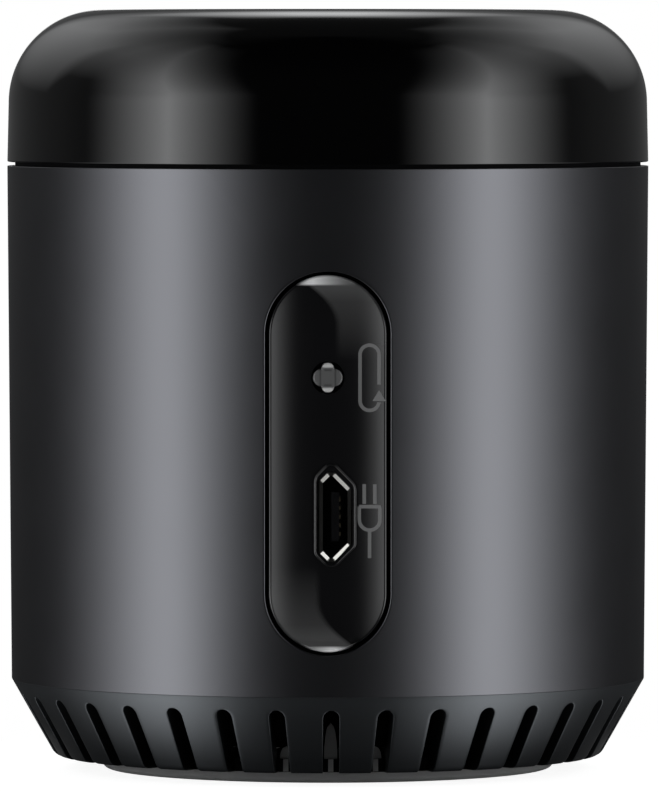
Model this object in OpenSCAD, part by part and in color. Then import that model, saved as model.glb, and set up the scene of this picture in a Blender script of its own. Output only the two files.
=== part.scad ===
// Small round desktop infrared remote blaster, seen from its port side.
// Frame: millimetres, +Z up, origin at the centre of the foot's underside, ports facing -Y.

/* [Whole body] */
// Radius of the sleeve at its top edge and of the cap at its bottom edge
body_r = 25; // [24.6:0.1:34]
// How much smaller the sleeve's radius is at its bottom edge
sleeve_taper = 0.3; // [0:0.05:0.6]
// Height of the sleeve
sleeve_h = 39.9; // [38:0.1:60]
// Height of the shadow gap between sleeve and cap
gap_h = 0.45; // [0.2:0.05:1]
// Depth of the shadow gap behind the sleeve's top edge
gap_depth = 0.6; // [0.4:0.05:0.9]
// Small flat worn on the sleeve's two outer edges
sleeve_edge = 0.2; // [0.05:0.05:0.4]
// Thickness of the sleeve at its top edge
sleeve_wall = 1.5; // [1.2:0.1:2]

/* [Cap] */
// Height of the cap above the shadow gap
cap_h = 11.75; // [11.2:0.05:18]
// Radius of the rounded corner between the cap's wall and its flat top
cap_corner = 7.2; // [5.6:0.1:8.4]
// How much smaller the cap's radius is where its corner starts
cap_draft = 0.1; // [0:0.05:0.4]
// Thickness of the cap
cap_wall = 1.6; // [1.2:0.1:2]
// Small flat on the cap's bottom outer edge
cap_edge = 0.15; // [0.05:0.05:0.3]

/* [Base ring] */
// Height of the slotted cone under the sleeve
base_h = 6; // [5.8:0.1:8]
// How much smaller the cone's radius is at its bottom than at the sleeve
cone_inset = 3.4; // [2.8:0.1:3.8]
// Radius of the rounding on the cone's bottom edge
cone_round = 0.9; // [0.4:0.1:1.1]
// Thickness of the cone, measured level
cone_wall = 1.65; // [1.4:0.05:2]
// Height of the collar that the ring puts inside the sleeve
collar_h = 2; // [1.2:0.1:3]
// Thickness of that collar
collar_wall = 1.2; // [0.8:0.1:1.8]
// Height of the ledge that rests on the base plate
ledge_h = 0.8; // [0.5:0.1:1.2]
// How far that ledge reaches inwards
ledge_reach = 1.1; // [0.6:0.1:1.3]
// Number of slots around the ring
slot_count = 36; // [24:1:44]
// Width of one slot
slot_w = 1.25; // [0.8:0.05:1.6]
// Top of the slots above the ring's bottom
slot_top = 5; // [3.6:0.1:5.2]
// How far the slots reach inwards from the cone
slot_reach = 7; // [6.2:0.1:8]
// Turn of the row of slots against the ports
slot_turn = 0.65; // [0:0.05:5]

/* [Foot and base plate] */
// How far the foot disc's edge lies inside the base plate's edge
foot_inset = 2.05; // [1.65:0.05:3.65]
// Thickness of the foot disc
foot_t = 1.5; // [1.4:0.05:2.4]
// How far the foot stands out below the ring
foot_drop = 1; // [0.6:0.05:1.2]
// Rounding on the foot's bottom edge
foot_round = 0.45; // [0.2:0.05:0.6]
// Thickness of the base plate at its rim
plate_rim_t = 1; // [0.7:0.05:1.4]
// Thickness of the base plate above the foot
plate_t = 1.1; // [0.8:0.1:1.4]
// Width of the wall around the foot's recess
plate_lip = 0.7; // [0.4:0.1:0.9]
// How far the three base screws stand inside the foot's edge
base_screw_inset = 3.3; // [3.2:0.1:5.6]
// Bottom radius of a screw boss on the base plate
boss_base_r = 3.9; // [3.4:0.1:4]
// Top radius of a screw boss on the base plate
boss_top_r = 1.9; // [1.8:0.1:2.4]
// Height of a screw boss above the base plate
boss_h = 2.2; // [1.7:0.1:2.6]

/* [Inner chassis] */
// Thickness of the chassis wall
chassis_wall = 1.2; // [1:0.1:1.5]
// Thickness of the chassis floor
chassis_floor = 1.2; // [1:0.1:1.6]
// Radius of the pillars under the floor
pillar_r = 2.3; // [1.9:0.1:2.8]
// Clearance between the skirt under the chassis and the plate's outline
skirt_gap = 0.5; // [0.3:0.05:0.7]
// Wall of that skirt, which closes the view through the slots
skirt_wall = 0.8; // [0.5:0.1:0.9]
// How far the skirt ends above the bosses
skirt_lift = 0.1; // [0.05:0.05:0.5]
// Radius of the columns inside the chassis
column_r = 2.3; // [1.7:0.1:2.4]
// How far the middles of the three columns stand inside the chassis wall
column_inset = 3.5; // [3.4:0.1:4.6]
// Thickness of the web between a column and the wall
web_t = 1.6; // [1:0.1:2]
// Width of the rail that holds the main board's front edge
rail_w = 3.8; // [3:0.1:5]
// How far that rail reaches inwards from the chassis wall
rail_reach = 4.5; // [3.7:0.1:5.3]
// Thickness of the pad behind the port panel
pad_t = 1.4; // [1:0.1:1.6]
// How far that pad reaches past the port panel's outline
pad_margin = 1.2; // [0.6:0.1:1.2]

/* [Port panel] */
// Width of the sleeve's window
window_w = 9.5; // [9.2:0.05:10.4]
// Height of the sleeve's window
window_h = 29.1; // [28.8:0.1:30.2]
// Middle of the window above the sleeve's bottom edge
window_rise = 17.7; // [17:0.1:19]
// Width of the dark line around the port panel
panel_gap = 0.28; // [0.1:0.02:0.4]
// Depth of the panel's back behind the body's largest radius
panel_depth = 2.8; // [2.6:0.05:3]
// Depth of the dish below the sleeve's surface
dish_depth = 1.2; // [1:0.05:1.3]
// Radius of the dish across the panel
dish_r = 14; // [12:0.5:18]
// How far inside the panel's top and bottom the dish's full depth ends
dish_end = 0.8; // [0.6:0.1:3]
// Height of the ramp at each end of the dish
dish_ramp = 0.9; // [0.8:0.1:3]
// How far that ramp climbs
dish_rise = 1.3; // [1:0.1:1.8]
// Height of the moulded lip around the power socket
lip_h = 0.3; // [0.1:0.05:0.6]
// Width of that lip
lip_w = 0.5; // [0.3:0.05:0.6]

/* [Power socket] */
// Width of the socket's shell, which stands upright
usb_w = 6.75; // [6.6:0.05:7]
// Thickness of the socket's shell
usb_t = 2.41; // [2.3:0.01:2.5]
// Length of the socket's shell
usb_l = 6.2; // [5.8:0.1:7]
// Thickness of the shell's sheet
usb_sheet = 0.27; // [0.2:0.01:0.35]
// Small corner cut on the shell's wide side
usb_small_cut = 0.68; // [0.4:0.02:0.8]
// Large corner cut on the shell's narrow side
usb_large_cut = 1.28; // [1:0.02:1.4]
// Middle of the shell to the right of the body's middle
usb_side = 0.56; // [0.4:0.02:0.8]
// Middle of the shell below the window's middle
usb_drop = 4.05; // [3.6:0.05:4.6]
// How far the shell's mouth stands out of the dish
usb_proud = 0.1; // [0.02:0.02:0.25]
// Length of one solder tab of the shell
tab_l = 1.2; // [0.8:0.1:1.4]
// Width of one solder tab
tab_w = 0.8; // [0.5:0.1:1]
// Length of the plastic block in the back of the shell
usb_block = 1.4; // [1:0.1:1.8]
// Width of the tongue
tongue_w = 3.7; // [3.4:0.05:3.9]
// Thickness of the tongue
tongue_t = 0.6; // [0.5:0.05:0.7]
// Distance of the tongue's tip behind the shell's mouth
tongue_back = 0.7; // [0.5:0.05:1.2]
// Number of contacts on the tongue
contact_count = 5; // [3:1:5]
// Spacing of the contacts
contact_pitch = 0.65; // [0.5:0.01:0.68]
// Width of one contact
contact_w = 0.3; // [0.2:0.01:0.35]
// Thickness of one contact
contact_t = 0.12; // [0.08:0.01:0.18]
// Length of the contact tails on the main board
tail_l = 0.8; // [0.5:0.1:1.4]

/* [Reset button] */
// Middle of the button above the window's middle
reset_rise = 6.5; // [6:0.1:7]
// Reach of the cross from tip to tip
cross_l = 2.25; // [2:0.05:2.3]
// Height of the cross's level bar
cross_bar_h = 1.4; // [1.1:0.05:1.5]
// Width of the cross's upright bar
cross_bar_w = 1.15; // [0.9:0.05:1.3]
// Radius of the button's hole in the port panel
reset_hole_r = 1.25; // [1.2:0.01:1.4]
// How far the button stands out of the dish
reset_proud = 0.2; // [0.05:0.05:0.4]
// Radius of the flange that keeps the button in
reset_flange_r = 1.7; // [1.6:0.05:1.75]
// Thickness of that flange
reset_flange_t = 0.5; // [0.3:0.05:0.6]
// Radius of the stem behind the flange
reset_stem_r = 0.9; // [0.6:0.05:1.2]
// How far the button can be pushed in
reset_travel = 0.3; // [0.1:0.05:0.35]

/* [Reset switch] */
// Thickness of the switch's body off the main board
switch_t = 1.3; // [1.2:0.05:1.6]
// Length of the switch's body along the board
switch_l = 2.4; // [2:0.1:3]
// Height of the switch's body
switch_h = 3.6; // [3:0.1:4.4]
// Distance of the switch's face from the board's rear edge
switch_setback = 0.4; // [0.3:0.05:0.8]
// Radius of the switch's plunger
plunger_r = 0.45; // [0.3:0.05:0.55]
// Length of the plunger inside the switch
plunger_in = 0.6; // [0.4:0.05:1]
// Thickness of the switch's metal cover
switch_cover_t = 0.15; // [0.1:0.01:0.3]

/* [Main board] */
// Thickness of the main board
board_t = 1.2; // [0.8:0.1:1.4]
// Gap between the main board's rear edge and the pad behind the port panel
board_play = 0.2; // [0.1:0.05:0.8]
// How far the main board's front edge lies inside the chassis wall
board_inset = 2.7; // [2.5:0.1:3.3]
// Length of the wireless module
radio_l = 18; // [16:0.5:20]
// Width of the wireless module
radio_w = 16; // [14:0.5:18]
// Thickness of the wireless module's board
radio_t = 0.8; // [0.6:0.1:1]
// Gap between the wireless module's top end and the tray
radio_drop = 4.2; // [3.4:0.2:6]
// Length of the module's metal can
can_l = 15; // [12:0.5:15.5]
// Width of the module's metal can
can_w = 11; // [9:0.5:12]
// Height of the module's metal can
can_h = 2.2; // [1.6:0.1:3]
// Gap between the can and the module's edge
can_inset = 0.8; // [0.4:0.1:1.2]
// Thickness of the wireless module's printed aerial
aerial_t = 0.1; // [0.05:0.01:0.2]
// Width of the aerial's track
aerial_w = 0.5; // [0.3:0.05:0.6]
// Number of bars in the aerial
aerial_bars = 7; // [5:1:8]
// Radius of the smoothing capacitor
cap_can_r = 3.15; // [2:0.05:4]
// Length of the smoothing capacitor
cap_can_l = 7; // [5:0.5:10]
// Rounding at the capacitor's end
cap_can_round = 0.5; // [0.2:0.1:0.8]
// Middle of the smoothing capacitor above the chassis floor
smoothing_rise = 13; // [12:0.5:16]
// Thickness of the capacitor's plastic seat
cap_seat_t = 0.5; // [0.3:0.1:1]
// Width of the capacitor's seat and of the power coil
cap_seat_w = 6.6; // [6.3:0.1:8]
// Height of the power coil
coil_h = 3; // [2:0.1:4]
// Length of a regulator chip
chip_l = 5; // [4:0.1:6]
// Width of a regulator chip
chip_w = 3.9; // [3:0.1:4.4]
// Thickness of a regulator chip
chip_t = 1.5; // [1:0.1:2]
// Spacing of the chip's pins
chip_pitch = 1.27; // [1:0.01:1.3]
// Reach of a chip's pins past its body
pin_reach = 1; // [0.6:0.1:1.4]
// Width of one chip pin
pin_w = 0.42; // [0.3:0.02:0.5]
// Thickness of one chip pin
pin_t = 0.2; // [0.15:0.01:0.3]
// Length of a small resistor or small capacitor
chiplet_l = 1.6; // [1.2:0.1:2]
// Width of a small resistor or small capacitor
chiplet_w = 0.8; // [0.6:0.1:1.2]
// Thickness of a small resistor
resistor_t = 0.45; // [0.3:0.05:0.6]
// Thickness of a small capacitor
capacitor_t = 0.8; // [0.5:0.05:1]

/* [Board link] */
// Number of pins between the two boards
link_count = 4; // [2:1:5]
// Spacing of those pins
link_pitch = 2.54; // [2.3:0.01:2.6]
// Width of one link pin
link_pin = 0.6; // [0.5:0.02:0.64]
// How far the middle of the link stands inside the lamps' seats
link_inset = 6.2; // [5.6:0.1:6.4]
// Width and height of the link's plastic block
link_block = 2.5; // [2.2:0.05:2.6]
// How far the link's pins stand out of a board
link_out = 0.8; // [0.4:0.1:1.2]
// Gap around a link pin in a board's hole
link_play = 0.12; // [0.05:0.01:0.2]

/* [Top tray] */
// Depth of the tray's floor below the sleeve's top edge
tray_drop = 1.5; // [1.4:0.1:2.2]
// Thickness of the tray's floor
tray_floor = 1.2; // [1:0.1:1.3]
// Thickness of the tray's upright walls
tray_wall = 1.2; // [0.8:0.1:1.4]
// Height of the rim that the cap slips over
rim_h = 2; // [1:0.1:3]
// Height of the stand-offs under the lamp board
standoff_h = 1.6; // [1.4:0.1:1.9]
// Radius of the stand-offs
standoff_r = 1.9; // [1.6:0.1:2]
// Width of the opening for the link pins
link_opening = 3; // [2:0.1:4]

/* [Lamp board] */
// Gap between the lamp board and the tray's wall
lamp_board_play = 0.4; // [0.1:0.1:0.9]
// Thickness of the lamp board
lamp_board_t = 1; // [0.8:0.1:1.1]
// How far the lamp board's screws stand inside its edge
lamp_screw_inset = 2.5; // [2.2:0.1:2.9]
// Number of infrared lamps that point sideways
lamp_count = 6; // [6:1:6]
// Radius of an infrared lamp
lamp_r = 1.5; // [1.2:0.05:1.6]
// Radius of an infrared lamp's flange
lamp_flange_r = 1.9; // [1.75:0.05:2.1]
// Thickness of that flange
lamp_flange_t = 0.8; // [0.5:0.1:1]
// Length of an infrared lamp between flange and dome
lamp_l = 4; // [3:0.1:4.6]
// Height of the lamps' axis above the lamp board
lamp_rise = 2.5; // [2.2:0.05:2.8]
// Gap between the ring that holds the lamps and the screw heads around it
holder_play = 0.4; // [0.2:0.1:1.2]
// Thickness of that ring at each lamp's seat
holder_wall = 3.4; // [3:0.1:4]
// Height of the ring that holds the lamps
holder_h = 4.6; // [4.4:0.1:5]
// Width of a lamp's wire
wire_w = 0.42; // [0.3:0.02:0.5]
// Spacing of a lamp's two wires
wire_pitch = 1.27; // [1:0.01:1.6]
// Reach of a side lamp's wires behind its flange
wire_back = 1; // [0.7:0.1:1.6]
// Height of the upright lamp's flange above the lamp board
top_lamp_rise = 1.8; // [1:0.1:2]
// Length of the upright lamp between flange and dome
top_lamp_l = 2.4; // [2:0.1:2.6]
// Width of the infrared receiver
eye_w = 5.2; // [4:0.1:6]
// Depth of the infrared receiver
eye_d = 2.4; // [2:0.1:2.5]
// Height of the infrared receiver
eye_h = 4.8; // [4:0.1:5]
// Gap between the receiver and the ring that holds the lamps
eye_gap = 0.5; // [0.3:0.1:0.8]
// Height of the receiver above the lamp board
eye_rise = 0.8; // [0.5:0.1:1]
// Radius of the receiver's lens
eye_lens_r = 1.5; // [1:0.1:1.7]
// How far the middle of the lens lies inside the receiver
eye_lens_in = 0.7; // [0.4:0.05:0.9]
// Length of a lamp driver
driver_l = 2.9; // [2.4:0.1:3.2]
// Width of a lamp driver
driver_w = 1.3; // [1.1:0.1:1.6]
// Thickness of a lamp driver
driver_t = 1; // [0.8:0.05:1.2]
// How far the lamp drivers stand inside the lamps' seats
driver_inset = 5.6; // [5.2:0.1:6.6]
// How far the lamps' resistors stand inside the lamps' seats
resistor_inset = 3; // [2.6:0.1:3.2]
// How far a lamp's resistor stands beside the middle between two lamps
resistor_side = 2.3; // [2:0.1:3]
// Distance of the status lamp behind the lamp board's edge
status_inset = 2; // [1.6:0.1:2.4]
// Turn of the status lamp from the front
status_turn = 16; // [14:1:18]

/* [Screws] */
// Radius of the base and tray screws
screw_r = 1; // [0.8:0.05:1.1]
// Head radius of the base and tray screws
screw_head_r = 1.85; // [1.6:0.05:1.9]
// Head height of the base and tray screws
screw_head_h = 1.2; // [0.8:0.1:1.3]
// Depth of the base screws in their pillars
screw_bite = 3.6; // [2.4:0.1:3.8]
// Depth of the tray screws in their columns
tray_screw_bite = 5; // [3:0.1:7]
// Radius of the lamp board's screws
fine_screw_r = 0.8; // [0.6:0.05:0.9]
// Head radius of the lamp board's screws
fine_head_r = 1.5; // [1.2:0.05:1.6]
// Head height of the lamp board's screws
fine_head_h = 0.9; // [0.6:0.1:1]
// Depth of the lamp board's screws in their stand-offs
fine_bite = 2; // [1.2:0.1:2.3]
// Depth of the cross in a screw head
drive_depth = 0.5; // [0.3:0.05:0.6]
// Width of the cross in a screw head
drive_w = 0.35; // [0.25:0.05:0.5]
// Reach of the cross in a screw head, as a share of the head's radius
drive_share = 1.2; // [0.9:0.05:1.4]

/* [Fits] */
// Play between pieces that slip into each other
fit = 0.1; // [0.05:0.01:0.14]
// Play around screws and small parts
small_fit = 0.05; // [0.02:0.01:0.08]

/* [Hidden] */
$fn = 96;

// Overrun of every cut past the face it opens
cut = body_r / 50;

// Levels from the ground up
rim_z = foot_drop;
sleeve_z = rim_z + base_h;
gap_z = sleeve_z + sleeve_h;
cap_z = gap_z + gap_h;
top_z = cap_z + cap_h;
window_z = sleeve_z + window_rise;
usb_z = window_z - usb_drop;
reset_z = window_z + reset_rise;

// Radii from the outside in
sleeve_bottom_r = body_r - sleeve_taper;
sleeve_in_r = body_r - sleeve_wall;
collar_r = sleeve_in_r - fit;
chassis_r = sleeve_in_r - 2 * fit;
chassis_in_r = chassis_r - chassis_wall;
spigot_r = chassis_in_r - fit;
rim_r = body_r - cap_wall - fit;
cone_bottom_r = sleeve_bottom_r - cone_inset;

// Base plate and foot
plate_r = cone_bottom_r - cone_wall;
foot_r = plate_r - foot_inset;
base_screw_ring = foot_r - base_screw_inset;
recess_h = foot_t - foot_drop;
recess_z = foot_t;
plate_top_z = recess_z + plate_t;
boss_top_z = plate_top_z + boss_h;
skirt_r = plate_r - skirt_gap;
skirt_z = boss_top_z + skirt_lift;
screw_seat_z = recess_z + screw_head_h + small_fit;
core_r = foot_r + fit + plate_lip;

// Chassis
chassis_z = sleeve_z + collar_h;
floor_z = chassis_z + chassis_floor;
tray_z = gap_z - tray_drop;
tray_floor_z = tray_z + tray_floor;
column_ring = chassis_in_r - column_inset;
rail_start = chassis_in_r - rail_reach;

// Ports
panel_w = window_w - 2 * panel_gap;
panel_h = window_h - 2 * panel_gap;
panel_back = body_r - panel_depth;
window_r = sleeve_bottom_r + sleeve_taper * window_rise / sleeve_h;
dish_floor = window_r - dish_depth;
usb_mouth = dish_floor + usb_proud;
board_face = usb_side - usb_t / 2;
board_back = board_face - board_t;
board_mid = board_face - board_t / 2;
board_rear = panel_back - pad_t - board_play;
board_front = chassis_in_r - board_inset;
board_h = tray_z - fit - floor_z;
reset_side = board_face + switch_t / 2;
switch_face = board_rear - switch_setback;
stem_end = panel_back - reset_flange_t - reset_travel - small_fit;
radio_start = rail_start - fit - radio_w;
radio_z = tray_z - radio_drop - radio_l;

// Lamp board
lamp_board_r = spigot_r - tray_wall - lamp_board_play;
lamp_screw_ring = lamp_board_r - lamp_screw_inset;
holder_r = lamp_screw_ring - fine_head_r - holder_play;
lamp_seat = holder_r - holder_wall;
eye_start = holder_r + eye_gap;
driver_ring = lamp_seat - driver_inset;
resistor_ring = lamp_seat - resistor_inset;
lamp_board_z = tray_floor_z + standoff_h;
lamp_top_z = lamp_board_z + lamp_board_t;
lamp_axis_z = lamp_top_z + lamp_rise;
link_x = board_face + link_block / 2;
link_start = link_inset - lamp_seat - (link_count - 1) * link_pitch / 2;
link_len = link_count * link_pitch;
link_z = tray_z - link_block - link_out;

// A plain block centred on its first two axes
module block(size) {
    translate([-size.x / 2, -size.y / 2, 0])
        cube(size);
}

// A block lying off the main board's right face, by place along and up the board
module on_face(along, up, off = 0) {
    translate([board_face + off, along, up])
        rotate([0, 90, 0])
            children();
}

// A block lying off the main board's left face
module on_back(along, up, off = 0) {
    translate([board_back - off, along, up])
        rotate([0, -90, 0])
            children();
}

// Turns children about the body's axis and moves them out along the new direction
module around(angle, out) {
    rotate([0, 0, angle])
        translate([out, 0, 0])
            children();
}

// An upright pill pointing to -Y, from one distance behind the axis to another
module pill(w, h, from, to) {
    straight = h - w;
    translate([0, -from, window_z])
        rotate([90, 0, 0]) {
            translate([0, straight / 2, 0])
                cylinder(d = w, h = to - from);
            translate([0, -straight / 2, 0])
                cylinder(d = w, h = to - from);
            translate([-w / 2, -straight / 2, 0])
                cube([w, straight, to - from]);
        }
}

// The socket's outline grown evenly by one amount, wide side to -X, upright
module socket_outline(grow) {
    x = usb_t / 2 + grow;
    y = usb_w / 2 + grow;
    bevel_share = 2 - sqrt(2);
    small = usb_small_cut + bevel_share * grow;
    large = usb_large_cut + bevel_share * grow;
    polygon([
        [-x, -y + small], [-x + small, -y], [x - large, -y], [x, -y + large],
        [x, y - large], [x - large, y], [-x + small, y], [-x, y - small],
    ]);
}

// The socket's outline pushed along -Y between two distances behind the axis
module socket_prism(grow, from, to) {
    translate([usb_side, -from, usb_z])
        rotate([90, 0, 0])
            linear_extrude(height = to - from)
                socket_outline(grow);
}

// A rod along -Y at the button's place
module reset_rod(r, from, to) {
    translate([reset_side, -from, reset_z])
        rotate([90, 0, 0])
            cylinder(r = r, h = to - from);
}

// A screw standing on its tip side: shank up from 0, head below it
module screw(r, l, head_r, head_h) {
    difference() {
        union() {
            cylinder(r = r, h = l);
            translate([0, 0, -head_h])
                cylinder(r = head_r, h = head_h);
        }
        for (turn = [0, 90])
            rotate([0, 0, turn])
                translate([0, 0, -head_h - cut])
                    block([drive_share * head_r, drive_w, cut + drive_depth]);
    }
}

// A small gull-winged pin lying along +X
module pin() {
    translate([-small_fit, -pin_w / 2, 0])
        cube([pin_reach + small_fit, pin_w, pin_t]);
}

module foot_pad() {
    color("dimgray")
        rotate_extrude() {
            square([foot_r - foot_round, foot_t]);
            translate([0, foot_round])
                square([foot_r, foot_t - foot_round]);
            translate([foot_r - foot_round, foot_round])
                circle(r = foot_round);
        }
}

module base_plate() {
    color("darkslategray")
        difference() {
            union() {
                translate([0, 0, rim_z])
                    cylinder(r = plate_r, h = plate_rim_t);
                translate([0, 0, rim_z])
                    cylinder(r = core_r, h = plate_top_z - rim_z);
                for (i = [0:2])
                    around(120 * i - 90, base_screw_ring)
                        translate([0, 0, plate_top_z])
                            cylinder(r1 = boss_base_r, r2 = boss_top_r, h = boss_h);
            }
            translate([0, 0, rim_z - cut])
                cylinder(r = foot_r + fit, h = recess_h + cut);
            for (i = [0:2])
                around(120 * i - 90, base_screw_ring) {
                    translate([0, 0, rim_z])
                        cylinder(r = screw_r + small_fit, h = boss_top_z - rim_z + cut);
                    translate([0, 0, rim_z])
                        cylinder(r = screw_head_r + small_fit, h = screw_seat_z - rim_z);
                }
        }
}

module base_screws() {
    color("silver")
        for (i = [0:2])
            around(120 * i - 90, base_screw_ring)
                translate([0, 0, screw_seat_z])
                    screw(screw_r, boss_top_z - screw_seat_z + screw_bite, screw_head_r, screw_head_h);
}

// Section of the slotted ring: a leaning wall with a rounded foot, a ledge and a collar
module ring_section() {
    lean = atan((sleeve_bottom_r - cone_bottom_r) / base_h);
    mid_r = cone_bottom_r - cone_round * (1 - sin(lean)) / cos(lean);
    mid_z = rim_z + cone_round;
    ledge_z = rim_z + plate_rim_t;
    polygon([
        [plate_r, rim_z],
        [mid_r, rim_z],
        [mid_r + cone_round * cos(lean), mid_z - cone_round * sin(lean)],
        [sleeve_bottom_r, sleeve_z],
        [collar_r - collar_wall, sleeve_z],
        [plate_r, rim_z + plate_rim_t],
    ]);
    translate([mid_r, mid_z])
        circle(r = cone_round);
    translate([plate_r - ledge_reach, ledge_z])
        square([ledge_reach + cone_wall / 2, ledge_h]);
    translate([collar_r - collar_wall, sleeve_z - collar_wall])
        square([collar_wall, collar_h + collar_wall]);
}

module slot_cutter() {
    out_r = sleeve_bottom_r + cut;
    crown_z = rim_z + slot_top - slot_w / 2;
    translate([-slot_w / 2, -out_r, rim_z - cut])
        cube([slot_w, slot_reach, crown_z - rim_z + cut]);
    translate([0, -out_r + slot_reach, crown_z])
        rotate([90, 0, 0])
            cylinder(d = slot_w, h = slot_reach);
}

module base_ring() {
    color("dimgray")
        difference() {
            rotate_extrude()
                ring_section();
            for (i = [0:slot_count - 1])
                rotate([0, 0, slot_turn + 360 * i / slot_count])
                    slot_cutter();
        }
}

// The sleeve's outer form as a solid, bottom and top edges bevelled
module sleeve_form() {
    top_bevel_r = body_r - sleeve_taper * sleeve_edge / sleeve_h;
    low_bevel_r = sleeve_bottom_r + sleeve_taper * sleeve_edge / sleeve_h;
    rotate_extrude()
        polygon([
            [0, sleeve_z],
            [sleeve_bottom_r - sleeve_edge, sleeve_z],
            [low_bevel_r, sleeve_z + sleeve_edge],
            [top_bevel_r, gap_z - sleeve_edge],
            [body_r - sleeve_edge, gap_z],
            [0, gap_z],
        ]);
}

module body_sleeve() {
    color("gray")
        difference() {
            sleeve_form();
            translate([0, 0, sleeve_z - cut])
                cylinder(r = sleeve_in_r, h = sleeve_h + 2 * cut);
            pill(window_w, window_h, board_rear, body_r + cut);
        }
}

// The ring wall of the chassis with floor, pillars, columns, rail and pad, before its openings
module chassis_solid() {
    difference() {
        translate([0, 0, chassis_z])
            cylinder(r = chassis_r, h = gap_z - chassis_z);
        translate([0, 0, floor_z])
            cylinder(r = chassis_in_r, h = gap_z - floor_z + cut);
    }
    for (i = [0:2])
        around(120 * i - 90, base_screw_ring)
            translate([0, 0, boss_top_z])
                cylinder(r = pillar_r, h = chassis_z + chassis_floor / 2 - boss_top_z);
    difference() {
        translate([0, 0, skirt_z])
            cylinder(r = skirt_r, h = chassis_z + chassis_floor / 2 - skirt_z);
        translate([0, 0, skirt_z - cut])
            cylinder(r = skirt_r - skirt_wall, h = chassis_z - skirt_z + cut);
    }
    for (i = [0:2])
        around(120 * i, column_ring)
            translate([0, 0, floor_z - chassis_floor / 2]) {
                cylinder(r = column_r, h = tray_z - floor_z + chassis_floor / 2);
                translate([0, -web_t / 2, 0])
                    cube([
                        chassis_in_r + chassis_wall / 2 - column_ring,
                        web_t,
                        tray_z - floor_z + chassis_floor / 2,
                    ]);
            }
    intersection() {
        translate([board_mid - rail_w / 2, rail_start, floor_z - chassis_floor / 2])
            cube([rail_w, body_r - rail_start, board_h]);
        translate([0, 0, chassis_z])
            cylinder(r = chassis_r - chassis_wall / 2, h = sleeve_h);
    }
    intersection() {
        pill(panel_w + 2 * pad_margin, panel_h + 2 * pad_margin, panel_back - pad_t, body_r);
        translate([0, 0, chassis_z])
            cylinder(r = chassis_r - chassis_wall / 4, h = sleeve_h);
    }
}

module chassis() {
    color("darkslategray")
        difference() {
            chassis_solid();
            pill(panel_w + 2 * fit, panel_h + 2 * fit, panel_back, body_r + cut);
            translate([usb_side, -panel_back - cut, usb_z - usb_w / 2 - fit])
                translate([-usb_t / 2 - fit, 0, 0])
                    cube([usb_t + 2 * fit, pad_t + 2 * cut, usb_w + 2 * fit]);
            reset_rod(reset_flange_r + fit, panel_back - pad_t - cut, panel_back + cut);
            translate([board_mid - board_t / 2 - small_fit, rail_start - cut, floor_z])
                cube([board_t + 2 * small_fit, board_front + fit - rail_start + cut, sleeve_h]);
            for (i = [0:2])
                around(120 * i - 90, base_screw_ring)
                    translate([0, 0, boss_top_z - cut])
                        cylinder(r = screw_r + small_fit, h = screw_bite + small_fit + cut);
            for (i = [0:2])
                around(120 * i, column_ring)
                    translate([0, 0, tray_z - tray_screw_bite - small_fit])
                        cylinder(r = screw_r + small_fit, h = tray_screw_bite + small_fit + cut);
        }
}

// The hollow that is dished out of the port panel, a long drum with an end ramp above and below
module dish_cutter() {
    half = panel_h / 2 - dish_end;
    tip_r = dish_r - dish_rise;
    translate([0, -dish_floor - dish_r, window_z])
        rotate_extrude()
            polygon([
                [0, -half - dish_ramp],
                [tip_r, -half - dish_ramp],
                [dish_r, -half],
                [dish_r, half],
                [tip_r, half + dish_ramp],
                [0, half + dish_ramp],
            ]);
}

module port_panel() {
    color("black")
        difference() {
            union() {
                difference() {
                    intersection() {
                        pill(panel_w, panel_h, panel_back, body_r + cut);
                        sleeve_form();
                    }
                    dish_cutter();
                }
                socket_prism(small_fit + lip_w, panel_back, dish_floor + lip_h);
            }
            socket_prism(small_fit, panel_back - cut, body_r + cut);
            reset_rod(reset_hole_r, panel_back - cut, body_r + cut);
        }
}

// The button: a cross head, a flange behind the panel and a stem to the switch
module reset_button() {
    head_l = dish_floor + reset_proud - panel_back + reset_flange_t / 2;
    color("gray")
        union() {
            translate([reset_side, -panel_back + reset_flange_t / 2, reset_z])
                rotate([90, 0, 0]) {
                    for (side = [-1, 1]) {
                        translate([side * (cross_l - cross_bar_h) / 2, 0, 0])
                            cylinder(d = cross_bar_h, h = head_l);
                        translate([0, side * (cross_l - cross_bar_w) / 2, 0])
                            cylinder(d = cross_bar_w, h = head_l);
                    }
                    translate([-(cross_l - cross_bar_h) / 2, -cross_bar_h / 2, 0])
                        cube([cross_l - cross_bar_h, cross_bar_h, head_l]);
                    translate([-cross_bar_w / 2, -(cross_l - cross_bar_w) / 2, 0])
                        cube([cross_bar_w, cross_l - cross_bar_w, head_l]);
                }
            reset_rod(reset_flange_r, panel_back - reset_flange_t, panel_back);
            reset_rod(reset_stem_r, stem_end, panel_back - reset_flange_t / 2);
        }
}

module switch_plunger() {
    color("black")
        reset_rod(plunger_r, switch_face - plunger_in, stem_end);
}

module switch_body() {
    color("ivory")
        difference() {
            translate([board_face, -switch_face, reset_z - switch_h / 2])
                cube([switch_t, switch_l, switch_h]);
            reset_rod(
                plunger_r + small_fit,
                switch_face - plunger_in - reset_travel - small_fit,
                switch_face + cut
            );
        }
}

// A plate over the switch with two sides folded down to the board
module switch_cover() {
    color("silver")
        difference() {
            translate([board_face, -switch_face, reset_z - switch_h / 2 - switch_cover_t])
                cube([switch_t + switch_cover_t, switch_l, switch_h + 2 * switch_cover_t]);
            translate([board_face - cut, -switch_face - cut, reset_z - switch_h / 2])
                cube([switch_t + cut, switch_l + 2 * cut, switch_h]);
        }
}

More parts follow.
